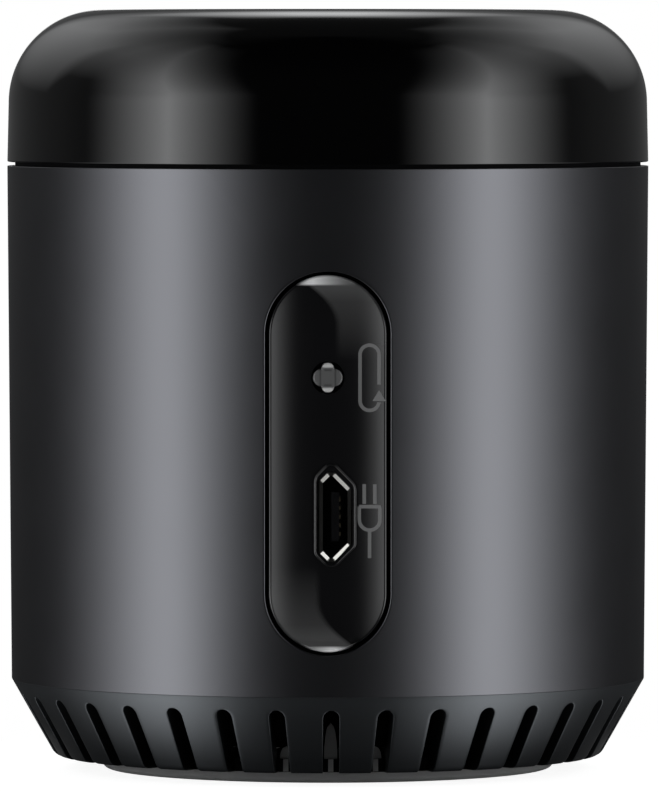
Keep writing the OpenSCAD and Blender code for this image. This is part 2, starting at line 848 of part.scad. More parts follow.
module usb_shell() {
    tab_z = usb_w / 2 - usb_small_cut;
    color("silver")
        union() {
            difference() {
                socket_prism(0, usb_mouth - usb_l, usb_mouth);
                socket_prism(-usb_sheet, usb_mouth - usb_l - cut, usb_mouth + cut);
            }
            for (side = [-1, 1])
                for (place = [switch_face - tab_l, usb_mouth - usb_l + small_fit])
                    translate([board_face, -place - tab_w, usb_z + side * tab_z])
                        mirror([0, 0, side < 0 ? 1 : 0])
                            cube([usb_sheet, tab_w, tab_l + usb_small_cut]);
        }
}

module usb_tongue() {
    back = usb_mouth - usb_l;
    color("black")
        union() {
            socket_prism(-usb_sheet, back, back + usb_block);
            translate([usb_side - tongue_t / 2, -usb_mouth + tongue_back, usb_z - tongue_w / 2])
                cube([tongue_t, usb_l - tongue_back - usb_block / 2, tongue_w]);
        }
}

// Contact strips on the tongue, and their tails on the main board behind the shell
module usb_contacts() {
    back = usb_mouth - usb_l;
    color("gold")
        for (i = [0:contact_count - 1])
            translate([0, 0, usb_z + (i - (contact_count - 1) / 2) * contact_pitch - contact_w / 2]) {
                translate([usb_side + tongue_t / 2, -usb_mouth + tongue_back, 0])
                    cube([contact_t, usb_l - tongue_back - usb_block, contact_w]);
                translate([board_face, -back, 0])
                    cube([contact_t, tail_l, contact_w]);
                translate([board_face, -back, 0])
                    cube([usb_side + tongue_t / 2 - board_face, contact_t, contact_w]);
            }
}

module main_board() {
    color("darkgreen")
        difference() {
            translate([board_back, -board_rear, floor_z])
                cube([board_t, board_rear + board_front, board_h]);
            for (i = [0:link_count - 1])
                translate([board_back - cut, link_start + i * link_pitch, link_z + link_block / 2])
                    rotate([0, 90, 0])
                        cylinder(d = link_pin * sqrt(2) + link_play, h = board_t + 2 * cut);
        }
}

module radio_module() {
    color("navy")
        translate([board_back - radio_t, radio_start, radio_z])
            cube([radio_t, radio_w, radio_l]);
}

module radio_can() {
    color("silver")
        translate([board_back - radio_t - can_h, radio_start + (radio_w - can_w) / 2, radio_z + can_inset])
            cube([can_h, can_w, can_l - radio_t]);
}

// A zigzag track on the module's clear end
module radio_aerial() {
    pitch = (radio_w - can_inset * 2) / aerial_bars;
    reach = radio_l - can_l - can_inset;
    start_z = radio_z + can_l + can_inset / 2;
    color("gold")
        translate([board_back - radio_t - aerial_t, radio_start + can_inset, start_z])
            union() {
                for (i = [0:aerial_bars - 1])
                    translate([0, i * pitch, 0])
                        cube([aerial_t, aerial_w, reach]);
                for (i = [0:aerial_bars - 2])
                    translate([0, i * pitch, i % 2 == 0 ? reach - aerial_w : 0])
                        cube([aerial_t, pitch + aerial_w, aerial_w]);
            }
}

module smoothing_can() {
    color("silver")
        on_face(0, floor_z + smoothing_rise, cap_seat_t)
            union() {
                cylinder(r = cap_can_r, h = cap_can_l - cap_can_round);
                cylinder(r = cap_can_r - cap_can_round, h = cap_can_l);
                translate([0, 0, cap_can_l - cap_can_round])
                    rotate_extrude()
                        translate([cap_can_r - cap_can_round, 0])
                            circle(r = cap_can_round);
            }
}

module smoothing_seat() {
    color("black")
        on_face(0, floor_z + smoothing_rise)
            block([cap_seat_w, cap_seat_w, cap_seat_t]);
}

module power_coil() {
    color("dimgray")
        on_face(-cap_seat_w * 1.4, floor_z + cap_seat_w / 2)
            difference() {
                block([cap_seat_w, cap_seat_w, coil_h]);
                for (side = [-1, 1])
                    translate([side * cap_seat_w / 2, 0, -cut])
                        block([2 * pin_t, cap_seat_w / 3, coil_h / 2 + cut]);
            }
}

module regulator_chip() {
    color("black")
        on_face(cap_seat_w, floor_z + cap_seat_w / 2, pin_t / 2)
            block([chip_l, chip_w, chip_t]);
}

module regulator_pins() {
    color("silver")
        on_face(cap_seat_w, floor_z + cap_seat_w / 2)
            for (side = [-1, 1])
                for (i = [0:3])
                    translate([(i - 1.5) * chip_pitch, side * chip_w / 2, 0])
                        rotate([0, 0, side * 90])
                            translate([small_fit, 0, 0])
                                pin();
}

module board_capacitors() {
    color("tan")
        for (i = [0:3])
            on_face(cap_seat_w + (i - 1) * chiplet_w * 2, floor_z + cap_seat_w * 1.3 + chiplet_l)
                block([chiplet_l, chiplet_w, capacitor_t]);
}

module board_resistors() {
    color("black")
        for (i = [0:5])
            on_back(-cap_seat_w + i * chiplet_w * 2, floor_z + 2 * chiplet_l)
                block([chiplet_l, chiplet_w, resistor_t]);
}

// Plastic block of the pins between the boards, lying on the main board's top end
module link_body() {
    color("black")
        difference() {
            translate([board_face, link_start - link_pitch / 2, link_z])
                cube([link_block, link_len, link_block]);
            for (i = [0:link_count - 1])
                translate([
                    board_face - cut,
                    link_start + i * link_pitch - link_pin / 2,
                    link_z + (link_block - link_pin) / 2,
                ])
                    cube([link_block / 2 + link_pin / 2 + cut, link_pin, link_block + cut]);
        }
}

module link_pins() {
    level_z = link_z + (link_block - link_pin) / 2;
    color("gold")
        for (i = [0:link_count - 1])
            translate([0, link_start + i * link_pitch - link_pin / 2, level_z])
                union() {
                    translate([board_back - link_out, 0, 0])
                        cube([link_x + link_pin / 2 - board_back + link_out, link_pin, link_pin]);
                    translate([link_x - link_pin / 2, 0, 0])
                        cube([link_pin, link_pin, lamp_top_z + link_out - level_z]);
                }
}

module top_tray() {
    color("darkslategray")
        difference() {
            union() {
                translate([0, 0, tray_z])
                    cylinder(r = spigot_r, h = tray_drop + gap_h / 2);
                translate([0, 0, gap_z])
                    cylinder(r = body_r - gap_depth, h = gap_h);
                translate([0, 0, gap_z])
                    cylinder(r = rim_r, h = gap_h + rim_h);
            }
            difference() {
                translate([0, 0, tray_floor_z])
                    cylinder(r = spigot_r - tray_wall, h = cap_h);
                for (i = [0:2])
                    around(120 * i + 30, lamp_screw_ring)
                        translate([0, 0, tray_z])
                            cylinder(r = standoff_r, h = tray_floor + standoff_h);
            }
            for (i = [0:2])
                around(120 * i + 30, lamp_screw_ring)
                    translate([0, 0, lamp_board_z - fine_bite - small_fit])
                        cylinder(r = fine_screw_r + small_fit, h = fine_bite + small_fit + cut);
            for (i = [0:2])
                around(120 * i, column_ring)
                    translate([0, 0, tray_z - cut])
                        cylinder(r = screw_r + small_fit, h = tray_floor + 2 * cut);
            translate([link_x - link_opening / 2, link_start - link_pitch / 2, tray_z - cut])
                cube([link_opening, link_len, tray_floor + 2 * cut]);
        }
}

module tray_screws() {
    color("silver")
        for (i = [0:2])
            around(120 * i, column_ring)
                translate([0, 0, tray_floor_z])
                    mirror([0, 0, 1])
                        screw(screw_r, tray_floor + tray_screw_bite, screw_head_r, screw_head_h);
}

module lamp_board() {
    color("darkgreen")
        translate([0, 0, lamp_board_z])
            difference() {
                cylinder(r = lamp_board_r, h = lamp_board_t);
                for (i = [0:2])
                    around(120 * i + 30, lamp_screw_ring)
                        translate([0, 0, -cut])
                            cylinder(r = fine_screw_r + small_fit, h = lamp_board_t + 2 * cut);
                for (i = [0:link_count - 1])
                    translate([link_x, link_start + i * link_pitch, -cut])
                        cylinder(d = link_pin * sqrt(2) + link_play, h = lamp_board_t + 2 * cut);
            }
}

module lamp_board_screws() {
    color("silver")
        for (i = [0:2])
            around(120 * i + 30, lamp_screw_ring)
                translate([0, 0, lamp_top_z])
                    mirror([0, 0, 1])
                        screw(fine_screw_r, lamp_board_t + fine_bite, fine_head_r, fine_head_h);
}

// A ring with a six-sided inside, one lamp's bore through each side
module lamp_holder() {
    color("black")
        translate([0, 0, lamp_top_z])
            difference() {
                cylinder(r = holder_r, h = holder_h);
                rotate([0, 0, 180 / lamp_count])
                    translate([0, 0, -cut])
                        cylinder(
                            r = lamp_seat / cos(180 / lamp_count),
                            h = holder_h + 2 * cut,
                            $fn = lamp_count
                        );
                for (i = [0:lamp_count - 1])
                    rotate([0, 0, 360 * i / lamp_count])
                        translate([lamp_seat / 2, 0, lamp_rise])
                            rotate([0, 90, 0])
                                cylinder(r = lamp_r + small_fit, h = body_r);
            }
}

// A lamp standing on its flange
module lamp(l) {
    cylinder(r = lamp_flange_r, h = lamp_flange_t);
    cylinder(r = lamp_r, h = lamp_flange_t + l);
    translate([0, 0, lamp_flange_t + l])
        sphere(r = lamp_r);
}

module side_lamp(i) {
    color("lightblue")
        around(360 * i / lamp_count, lamp_seat - lamp_flange_t)
            translate([0, 0, lamp_axis_z])
                rotate([0, 90, 0])
                    lamp(lamp_l);
}

module ir_lamp_1() {
    side_lamp(0);
}

module ir_lamp_2() {
    side_lamp(1);
}

module ir_lamp_3() {
    side_lamp(2);
}

module ir_lamp_4() {
    side_lamp(3);
}

module ir_lamp_5() {
    side_lamp(4);
}

module ir_lamp_6() {
    side_lamp(5);
}

module ir_lamp_top() {
    color("lightblue")
        translate([0, 0, lamp_top_z + top_lamp_rise])
            lamp(top_lamp_l);
}

// Two wires down from each side lamp's flange, and two under the upright lamp
module lamp_wires() {
    back_r = lamp_seat - lamp_flange_t;
    color("silver") {
        for (i = [0:lamp_count - 1])
            for (side = [-1, 1])
                around(360 * i / lamp_count, back_r - wire_back)
                    translate([0, side * wire_pitch / 2 - wire_w / 2, lamp_top_z])
                        union() {
                            cube([wire_w, wire_w, lamp_rise + wire_w / 2]);
                            translate([0, 0, lamp_rise - wire_w / 2])
                                cube([wire_back, wire_w, wire_w]);
                        }
        for (side = [-1, 1])
            translate([side * wire_pitch / 2, 0, lamp_top_z])
                block([wire_w, wire_w, top_lamp_rise]);
    }
}

module ir_receiver() {
    color("black")
        union() {
            translate([-eye_w / 2, eye_start, lamp_top_z + eye_rise])
                cube([eye_w, eye_d, eye_h]);
            translate([0, eye_start + eye_d - eye_lens_in, lamp_top_z + eye_rise + eye_h / 2])
                sphere(r = eye_lens_r);
        }
}

module receiver_wires() {
    color("silver")
        for (i = [-1:1])
            translate([i * wire_pitch, eye_start + eye_d / 2, lamp_top_z])
                block([wire_w, wire_w, eye_rise]);
}

module lamp_drivers() {
    color("black")
        for (i = [0:2])
            around(120 * i + 90, driver_ring)
                translate([0, 0, lamp_top_z + pin_t / 2])
                    block([driver_w, driver_l, driver_t]);
}

module driver_pins() {
    color("silver")
        for (i = [0:2])
            around(120 * i + 90, driver_ring)
                translate([0, 0, lamp_top_z]) {
                    for (side = [-1, 1])
                        translate([driver_w / 2 + small_fit, side * driver_l / 3, 0])
                            pin();
                    translate([-driver_w / 2 - small_fit, 0, 0])
                        rotate([0, 0, 180])
                            pin();
                }
}

module lamp_resistors() {
    color("black")
        for (i = [0:lamp_count - 1])
            around(360 * (i + 0.5) / lamp_count, resistor_ring)
                translate([0, resistor_side, lamp_top_z])
                    block([chiplet_w, chiplet_l, resistor_t]);
}

module status_lamp() {
    color("white")
        around(90 - status_turn, lamp_board_r - status_inset)
            translate([0, 0, lamp_top_z])
                block([chiplet_w, chiplet_l, capacitor_t]);
}

// Section of the cap's outside: a drafted wall, a round corner and a flat top
module cap_section(inset) {
    corner = cap_corner - inset;
    wall_r = body_r - cap_draft;
    mid_r = wall_r - cap_corner;
    mid_z = top_z - cap_corner;
    polygon([
        [0, cap_z - (inset > 0 ? cut : 0)],
        [body_r - inset - (inset > 0 ? 0 : cap_edge), cap_z - (inset > 0 ? cut : 0)],
        [body_r - inset, cap_z + cap_edge],
        [wall_r - inset, mid_z],
        [mid_r, mid_z],
        [mid_r, top_z - inset],
        [0, top_z - inset],
    ]);
    translate([mid_r, mid_z])
        intersection() {
            circle(r = corner);
            square(corner);
        }
}

module top_cap() {
    color("black")
        difference() {
            rotate_extrude()
                cap_section(0);
            rotate_extrude()
                cap_section(cap_wall);
        }
}

foot_pad();
base_plate();
base_screws();
base_ring();
body_sleeve();
chassis();
port_panel();
reset_button();
switch_plunger();
switch_body();
switch_cover();
usb_shell();
usb_tongue();
usb_contacts();
main_board();
radio_module();
radio_can();
radio_aerial();
smoothing_can();
smoothing_seat();
power_coil();
regulator_chip();
regulator_pins();
board_capacitors();
board_resistors();
link_body();
link_pins();
top_tray();
tray_screws();
lamp_board();
lamp_board_screws();
lamp_holder();
ir_lamp_1();
ir_lamp_2();
ir_lamp_3();
ir_lamp_4();
ir_lamp_5();
ir_lamp_6();
ir_lamp_top();
lamp_wires();
ir_receiver();
receiver_wires();
lamp_drivers();
driver_pins();
lamp_resistors();
status_lamp();
top_cap();
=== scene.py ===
import math

import bmesh
import bpy
import numpy as np
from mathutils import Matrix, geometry


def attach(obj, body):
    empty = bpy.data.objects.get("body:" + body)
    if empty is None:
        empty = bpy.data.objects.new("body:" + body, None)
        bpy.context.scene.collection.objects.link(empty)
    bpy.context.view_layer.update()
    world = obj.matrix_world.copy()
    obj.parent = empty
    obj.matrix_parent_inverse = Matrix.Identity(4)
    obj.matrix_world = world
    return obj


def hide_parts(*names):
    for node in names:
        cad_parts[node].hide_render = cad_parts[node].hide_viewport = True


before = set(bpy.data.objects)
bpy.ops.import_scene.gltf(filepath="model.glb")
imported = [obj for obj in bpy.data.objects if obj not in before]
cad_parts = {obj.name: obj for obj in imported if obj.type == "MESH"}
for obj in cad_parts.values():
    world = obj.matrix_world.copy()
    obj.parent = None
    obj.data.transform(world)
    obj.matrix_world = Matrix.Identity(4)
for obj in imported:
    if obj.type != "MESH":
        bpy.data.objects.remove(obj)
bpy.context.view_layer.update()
print("frame loaded:", len(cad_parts), "solids")

# Sizes below are in millimetres, with the foot's underside at z = 0 and the ports facing -Y.
millimetre = 0.001
tau = 2 * math.pi

body = {
    "sleeveBottom": 7.0,
    "sleeveTop": 46.97,
    "bottomRadius": 24.7,
    "topRadius": 25.0,
    "windowMiddle": 24.7,
}


# Mesh tools

# Welding works in cells of a micrometre, shifted so that round values don't lie on a cell's edge.
# A fill keeps its inner points clear of the loops, and has two rows close to each bend.
weldCells = {"perMillimetre": 1000, "shift": 0.3183}
filling = {"clearShare": 0.45, "bendShare": 0.5, "bendGap": 0.04}


def gridFaces(rows, columns, start):
    # quads between neighbours of a rows by columns grid numbered row by row
    index = start + np.arange(rows * columns).reshape(rows, columns)
    corners = [index[:-1, :-1], index[:-1, 1:], index[1:, 1:], index[1:, :-1]]
    return np.stack(corners, -1).reshape(-1, 4)


def weld(points, quads, triangles):
    # points in the same cell become one, and quads with a doubled corner become triangles
    keys = np.floor(points * weldCells["perMillimetre"] + weldCells["shift"]).astype(np.int64)
    _, first, inverse = np.unique(keys, axis=0, return_index=True, return_inverse=True)
    inverse = inverse.reshape(-1)
    quads = inverse[quads]
    same = quads == np.roll(quads, -1, axis=1)
    doubled = same.sum(1)
    part = quads[doubled == 1]
    kept = (same[doubled == 1].argmax(1)[:, None] + np.arange(1, 4)) % 4
    folded = np.take_along_axis(part, kept, 1)
    triangles = np.concatenate([inverse[triangles], folded])
    a, b, c = triangles.T
    triangles = triangles[(a != b) & (b != c) & (c != a)]
    quads = quads[doubled == 0]
    crossed = (quads[:, 0] == quads[:, 2]) | (quads[:, 1] == quads[:, 3])
    return points[first], quads[~crossed], triangles


def makePiece(name, grids, sheets=(), sharpAngle=40):
    # grids are arrays of rows, columns and xyz, and sheets are pairs of points and triangles
    points, quads, triangles, start = [], [], [], 0
    for grid in grids:
        points.append(grid.reshape(-1, 3))
        quads.append(gridFaces(grid.shape[0], grid.shape[1], start))
        start += len(points[-1])
    for sheetPoints, sheetTriangles in sheets:
        points.append(sheetPoints)
        triangles.append(sheetTriangles + start)
        start += len(sheetPoints)
    triangles = np.concatenate(triangles) if triangles else np.zeros((0, 3), np.int64)
    points, quads, triangles = weld(np.concatenate(points), np.concatenate(quads), triangles)
    mesh = bpy.data.meshes.new(name)
    mesh.from_pydata((points * millimetre).tolist(), [], quads.tolist() + triangles.tolist())
    work = bmesh.new()
    work.from_mesh(mesh)
    bmesh.ops.recalc_face_normals(work, faces=work.faces[:])
    openEdges = sum(1 for edge in work.edges if len(edge.link_faces) != 2)
    work.to_mesh(mesh)
    work.free()
    mesh.shade_smooth()
    mesh.set_sharp_from_angle(angle=math.radians(sharpAngle))
    piece = bpy.data.objects.new(name, mesh)
    bpy.context.scene.collection.objects.link(piece)
    print("made", name, "with", len(mesh.polygons), "faces and", openEdges, "open edges")
    return piece


def finishPiece(piece, materialName, nodes, bodyName="housing"):
    piece.data.materials.append(materials[materialName])
    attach(piece, bodyName)
    if nodes:
        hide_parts(*nodes)


def pointsOf(*values):
    # coordinates, spread to one shape, as one array of points
    return np.stack(np.broadcast_arrays(*values), -1)


def between(first, last, share):
    return first * (1 - share) + last * share


def arcPoints(centreA, centreB, radius, startAngle, endAngle, steps):
    # points of a circular arc in any plane, angles in degrees
    angle = np.radians(np.linspace(startAngle, endAngle, steps + 1))
    return pointsOf(centreA + radius * np.cos(angle), centreB + radius * np.sin(angle))


def aroundAxis(angle, radius, z):
    # points round the Z axis, with angles counted from -Y towards +X
    return pointsOf(radius * np.sin(angle), -radius * np.cos(angle), z)


def facing(x, depth, z):
    # points that lie depth in front of the middle, towards -Y
    return pointsOf(x, -depth, z)


def revolve(profile, segments):
    # a radius and height profile carried round the Z axis
    profile = np.asarray(profile, float)
    return aroundAxis(np.linspace(0, tau, segments + 1), profile[:, :1], profile[:, 1:])


def spinMatrix(angle):
    # carries points that are rows from -Y to another angle
    cos, sin = math.cos(angle), math.sin(angle)
    return np.array([[cos, sin, 0], [-sin, cos, 0], [0, 0, 1]])


def boxSection(inner, outer, low, high):
    # a closed rectangle of radius and height
    return np.array([[inner, low], [outer, low], [outer, high], [inner, high], [inner, low]])


def lid(row):
    # closes a section of four corners
    return np.stack([row[:2], row[[3, 2]]])


def fillLoops(loops, spacing, bends=()):
    # triangles of the flat region between an outer loop and its holes, with a grid of points inside
    low, high = loops[0].min(0), loops[0].max(0)
    levels = np.arange(low[1], high[1], spacing)
    clear, gap = spacing * filling["clearShare"], filling["bendGap"]
    for bend in bends:
        levels = levels[np.abs(levels - bend) > spacing * filling["bendShare"]]
        levels = np.append(levels, [bend - gap, bend + gap])
    gridX, gridZ = np.meshgrid(np.arange(low[0], high[0], spacing), levels)
    inside = pointsOf(gridX.ravel(), gridZ.ravel())
    inside = inside[inRegion(inside, loops, clear)]
    points, edges, start = [], [], 0
    for loop in loops:
        index = start + np.arange(len(loop))
        edges.append(pointsOf(index, np.roll(index, -1)))
        points.append(loop)
        start += len(loop)
    points = np.concatenate(points + [inside])
    result = geometry.delaunay_2d_cdt(points.tolist(), np.concatenate(edges).tolist(), [], 0, 1e-7)
    flat = np.array([tuple(point) for point in result[0]])
    triangles = np.array(result[2])
    return flat, triangles[inRegion(flat[triangles].mean(1), loops, 0)]


def inRegion(points, loops, margin):
    # inside the first loop and outside the others, by a margin
    keep = insideLoop(points, loops[0], margin)
    for hole in loops[1:]:
        keep &= ~insideLoop(points, hole, -margin)
    return keep


def insideLoop(points, loop, margin):
    # crossing test for many points at once, and a distance test to the loop's edges
    a, b = loop, np.roll(loop, -1, axis=0)
    px, pz = points[:, :1], points[:, 1:]
    spans = (a[:, 1] > pz) != (b[:, 1] > pz)
    slope = np.where(b[:, 1] == a[:, 1], 1, b[:, 1] - a[:, 1])
    crossing = a[:, 0] + (pz - a[:, 1]) * (b[:, 0] - a[:, 0]) / slope
    inside = (spans & (px < crossing)).sum(1) % 2 == 1
    if margin == 0:
        return inside
    along = b - a
    share = ((points[:, None] - a) * along).sum(-1) / (along ** 2).sum(-1)
    nearest = a + np.clip(share, 0, 1)[..., None] * along
    distance = np.sqrt(((points[:, None] - nearest) ** 2).sum(-1)).min(1)
    return inside & (distance > margin) if margin > 0 else inside | (distance < -margin)


# Finishes

def connect(tree, *pairs):
    for source, target in pairs:
        tree.links.new(source, target)


def calculator(tree):
    # calc makes one math node, ramp is 0 up to start and 1 from a step past it
    def calc(operation, *values):
        node = tree.nodes.new("ShaderNodeMath")
        node.operation = operation
        for place, value in enumerate(values):
            if isinstance(value, (int, float)):
                node.inputs[place].default_value = value
            else:
                tree.links.new(value, node.inputs[place])
        return node.outputs[0]

    def ramp(value, start, step):
        share = calc("DIVIDE", calc("SUBTRACT", value, start), step)
        return calc("MINIMUM", calc("MAXIMUM", share, 0), 1)

    def product(first, *others):
        for other in others:
            first = calc("MULTIPLY", first, other)
        return first

    return calc, ramp, product


def splitVector(tree, vector):
    node = tree.nodes.new("ShaderNodeSeparateXYZ")
    tree.links.new(vector, node.inputs[0])
    return node.outputs


def newGroup(name, inputs, outputs):
    # a group with its sockets, which are numbers unless their names say otherwise
    kinds = {"Vector": "NodeSocketVector", "Normal": "NodeSocketVector", "Colour": "NodeSocketColor"}
    group = bpy.data.node_groups.new(name, "ShaderNodeTree")
    for direction, labels in (("INPUT", inputs), ("OUTPUT", outputs)):
        for label in labels:
            kind = kinds.get(label, "NodeSocketFloat")
            group.interface.new_socket(name=label, in_out=direction, socket_type=kind)
    return group, group.nodes.new("NodeGroupInput").outputs, group.nodes.new("NodeGroupOutput").inputs


def grainGroup():
    # broad mottling of the colour and the gloss, and a fine grain for the bump
    group, given, result = newGroup("finishGrain", (
        "Vector", "Colour", "Mottle", "Broad Scale", "Fine Scale", "Roughness", "Gloss Spread",
    ), ("Colour", "Roughness", "Height"))
    calc, _, _ = calculator(group)
    broad = group.nodes.new("ShaderNodeTexNoise")
    fine = group.nodes.new("ShaderNodeTexNoise")
    broad.inputs["Detail"].default_value = 3
    fine.inputs["Detail"].default_value = 1
    scaled = group.nodes.new("ShaderNodeVectorMath")
    scaled.operation = "SCALE"
    centred = calc("SUBTRACT", broad.outputs["Fac"], 0.5)
    tone = calc("MULTIPLY_ADD", centred, given["Mottle"], 1)
    rough = calc("MULTIPLY_ADD", centred, given["Gloss Spread"], given["Roughness"])
    connect(group,
            (given["Vector"], broad.inputs["Vector"]), (given["Broad Scale"], broad.inputs["Scale"]),
            (given["Vector"], fine.inputs["Vector"]), (given["Fine Scale"], fine.inputs["Scale"]),
            (given["Colour"], scaled.inputs[0]), (tone, scaled.inputs["Scale"]),
            (scaled.outputs[0], result["Colour"]), (rough, result["Roughness"]),
            (fine.outputs["Fac"], result["Height"]))
    return group


def levelGroup():
    # a surface direction with its upright part made smaller, as a share of what it was
    group, given, result = newGroup("levelDirection", ("Normal", "Upright Share"), ("Normal",))
    calc, _, _ = calculator(group)
    x, y, z = splitVector(group, given["Normal"])
    join = group.nodes.new("ShaderNodeCombineXYZ")
    unit = group.nodes.new("ShaderNodeVectorMath")
    unit.operation = "NORMALIZE"
    lower = calc("MULTIPLY", z, given["Upright Share"])
    connect(group, (x, join.inputs[0]), (y, join.inputs[1]), (lower, join.inputs[2]),
            (join.outputs[0], unit.inputs[0]), (unit.outputs[0], result["Normal"]))
    return group


# Light painted on the ends of the panel's dish, in metres. A pair is where a ramp starts and its step.
dishSizes = {"Middle": 0.0247, "End": 0.01347}
dishPaintedLight = {
    "lowerEnd": 0.00036, "lowerShift": 0.0009,
    "left": (-0.0026, 0.0011), "right": (0.0024, -0.0035), "edge": (-0.00003, 0.00015),
    "reach": 0.00062, "bend": 225, "bendStart": 0.0104, "border": (-0.0001, 0.0005),
    "far": (0.0078, 0.0043), "farShare": 0.42, "near": (0.0122, 0.0015),
}


def paintedSheenGroup():
    # Painted light on the dish: two soft masks at its ends, the lower end being the upper one turned half
    # round.
    # Crescent: a painted highlight on the steep end, brightest to the left of the middle, and at the lower
    # end
    # shifted and narrower. Zone: a painted sheen to the right of the curve reach - bend * (rise -
    # bendStart)^2, where rise counts from the panel's middle, and brighter near the end.
    group, given, result = newGroup("dishPaintedSheen", ("Vector", *dishSizes), ("Painted Crescent", "Painted Zone"))
    calc, ramp, product = calculator(group)
    x, _, z = splitVector(group, given["Vector"])
    rise = calc("SUBTRACT", z, given["Middle"])
    lower = calc("LESS_THAN", rise, 0)
    aside = calc("MULTIPLY", x, calc("SIGN", rise))
    rise = calc("ABSOLUTE", rise)
    beyond = calc("SUBTRACT", rise, given["End"])
    beyond = calc("SUBTRACT", beyond, calc("MULTIPLY", lower, dishPaintedLight["lowerEnd"]))
    along = calc("SUBTRACT", aside, calc("MULTIPLY", lower, dishPaintedLight["lowerShift"]))
    fading = ramp(along, *dishPaintedLight["right"])
    paintedCrescent = product(ramp(along, *dishPaintedLight["left"]), fading, fading, ramp(beyond, *dishPaintedLight["edge"]))
    past = calc("MAXIMUM", calc("SUBTRACT", rise, dishPaintedLight["bendStart"]), 0)
    border = calc("MULTIPLY_ADD", product(past, past), -dishPaintedLight["bend"], dishPaintedLight["reach"])
    far = product(ramp(rise, *dishPaintedLight["far"]), dishPaintedLight["farShare"])
    level = calc("MULTIPLY_ADD", ramp(rise, *dishPaintedLight["near"]), 1 - dishPaintedLight["farShare"], far)
    paintedZone = product(ramp(calc("SUBTRACT", aside, border), *dishPaintedLight["border"]), level)
    connect(group, (paintedCrescent, result["Painted Crescent"]), (paintedZone, result["Painted Zone"]))
    return group


# Sizes of the button's painted lobe highlight and painted groove shade, in metres
crossSizes = {"Middle X": 0.000005, "Middle Z": 0.0312, "Lobe Start": 0.00071, "Lobe Half": 0.00045,
              "Lobe Edge": 0.00012, "Groove Start": 0.00057, "Groove Reach": 0.00022, "Groove Half": 0.0001}


def crossPaintedLightGroup():
    # Two masks of painted light on a cross-shaped button: a painted highlight on the ends of its upper and
    # lower lobes, and painted shade in the faint grooves that part all four lobes from the middle
    group, given, result = newGroup("crossPaintedLight", ("Vector", *crossSizes), ("Lobe", "Groove"))
    calc, ramp, product = calculator(group)
    x, _, z = splitVector(group, given["Vector"])
    across = calc("ABSOLUTE", calc("SUBTRACT", x, given["Middle X"]))
    upright = calc("ABSOLUTE", calc("SUBTRACT", z, given["Middle Z"]))
    inside = ramp(calc("SUBTRACT", given["Lobe Half"], across), 0, given["Lobe Edge"])
    lobeHighlight = product(ramp(upright, given["Lobe Start"], given["Lobe Edge"]), inside)
    sideways = calc("ABSOLUTE", calc("SUBTRACT", across, given["Groove Start"]))
    endways = calc("ABSOLUTE", calc("SUBTRACT", upright, given["Groove Start"]))
    endways = calc("MAXIMUM", endways, calc("SUBTRACT", across, given["Groove Reach"]))
    near = calc("DIVIDE", calc("MINIMUM", sideways, endways), given["Groove Half"])
    grooveShade = calc("MAXIMUM", calc("SUBTRACT", 1, near), 0)
    connect(group, (lobeHighlight, result["Lobe"]), (grooveShade, result["Groove"]))
    return group


# Painted shade: the base ring's colour is painted darker below this level, in metres
ringShade = {"Level": 0.0065, "Step": -0.0047}


def heightGroup():
    # 0 up to one level, and 1 from a step past it: the mask of the base ring's painted shade
    group, given, result = newGroup("ringPaintedShade", ("Vector", *ringShade), ("Mask",))
    _, ramp, _ = calculator(group)
    _, _, z = splitVector(group, given["Vector"])
    connect(group, (ramp(z, given["Level"], given["Step"]), result["Mask"]))
    return group


finishGrain = grainGroup()
levelDirection = levelGroup()
dishPaintedSheen = paintedSheenGroup()
crossPaintedLight = crossPaintedLightGroup()
ringPaintedShade = heightGroup()


def addGroup(material, group, values, coordinates="Object"):
    # puts a group on a material, fed from one kind of coordinates
    nodes = material.node_tree.nodes
    node = nodes.new("ShaderNodeGroup")
    node.node_tree = group
    for name, value in values.items():
        node.inputs[name].default_value = value
    connect(material.node_tree, (nodes["place"].outputs[coordinates], node.inputs[0]))
    return node.outputs


def makeMaterial(name, colour, roughness, metallic=0.0, mottle=0.15, broadScale=150, fineScale=4000,
                 glossSpread=0.06, bump=0.05, coat=0.0, specular=0.5, level=1.0):
    material = bpy.data.materials.new(name)
    material.use_nodes = True
    tree = material.node_tree
    shader = tree.nodes["Principled BSDF"].inputs
    tree.nodes.new("ShaderNodeTexCoord").name = "place"
    grain = addGroup(material, finishGrain, {
        "Colour": (*colour, 1), "Mottle": mottle, "Broad Scale": broadScale, "Fine Scale": fineScale,
        "Roughness": roughness, "Gloss Spread": glossSpread})
    relief = tree.nodes.new("ShaderNodeBump")
    relief.inputs["Strength"].default_value = bump
    relief.inputs["Distance"].default_value = reliefDepth
    shader["Metallic"].default_value = metallic
    shader["Coat Weight"].default_value = coat
    shader["Specular IOR Level"].default_value = specular
    connect(tree, (grain["Colour"], shader["Base Color"]), (grain["Roughness"], shader["Roughness"]),
            (grain["Height"], relief.inputs["Height"]), (relief.outputs["Normal"], shader["Normal"]))
    if level < 1:
        turned = addGroup(material, levelDirection, {"Upright Share": level}, "Normal")
        connect(tree, (turned["Normal"], relief.inputs["Normal"]))
    return material


def blendColour(material, mask, colour):
    # lays another colour over what feeds the base colour, where the mask is 1
    tree = material.node_tree
    target = tree.nodes["Principled BSDF"].inputs["Base Color"]
    blend = tree.nodes.new("ShaderNodeMix")
    blend.data_type = "RGBA"
    blend.inputs[7].default_value = (*colour, 1)
    connect(tree, (mask, blend.inputs[0]), (target.links[0].from_socket, blend.inputs[6]))
    connect(tree, (blend.outputs[2], target))


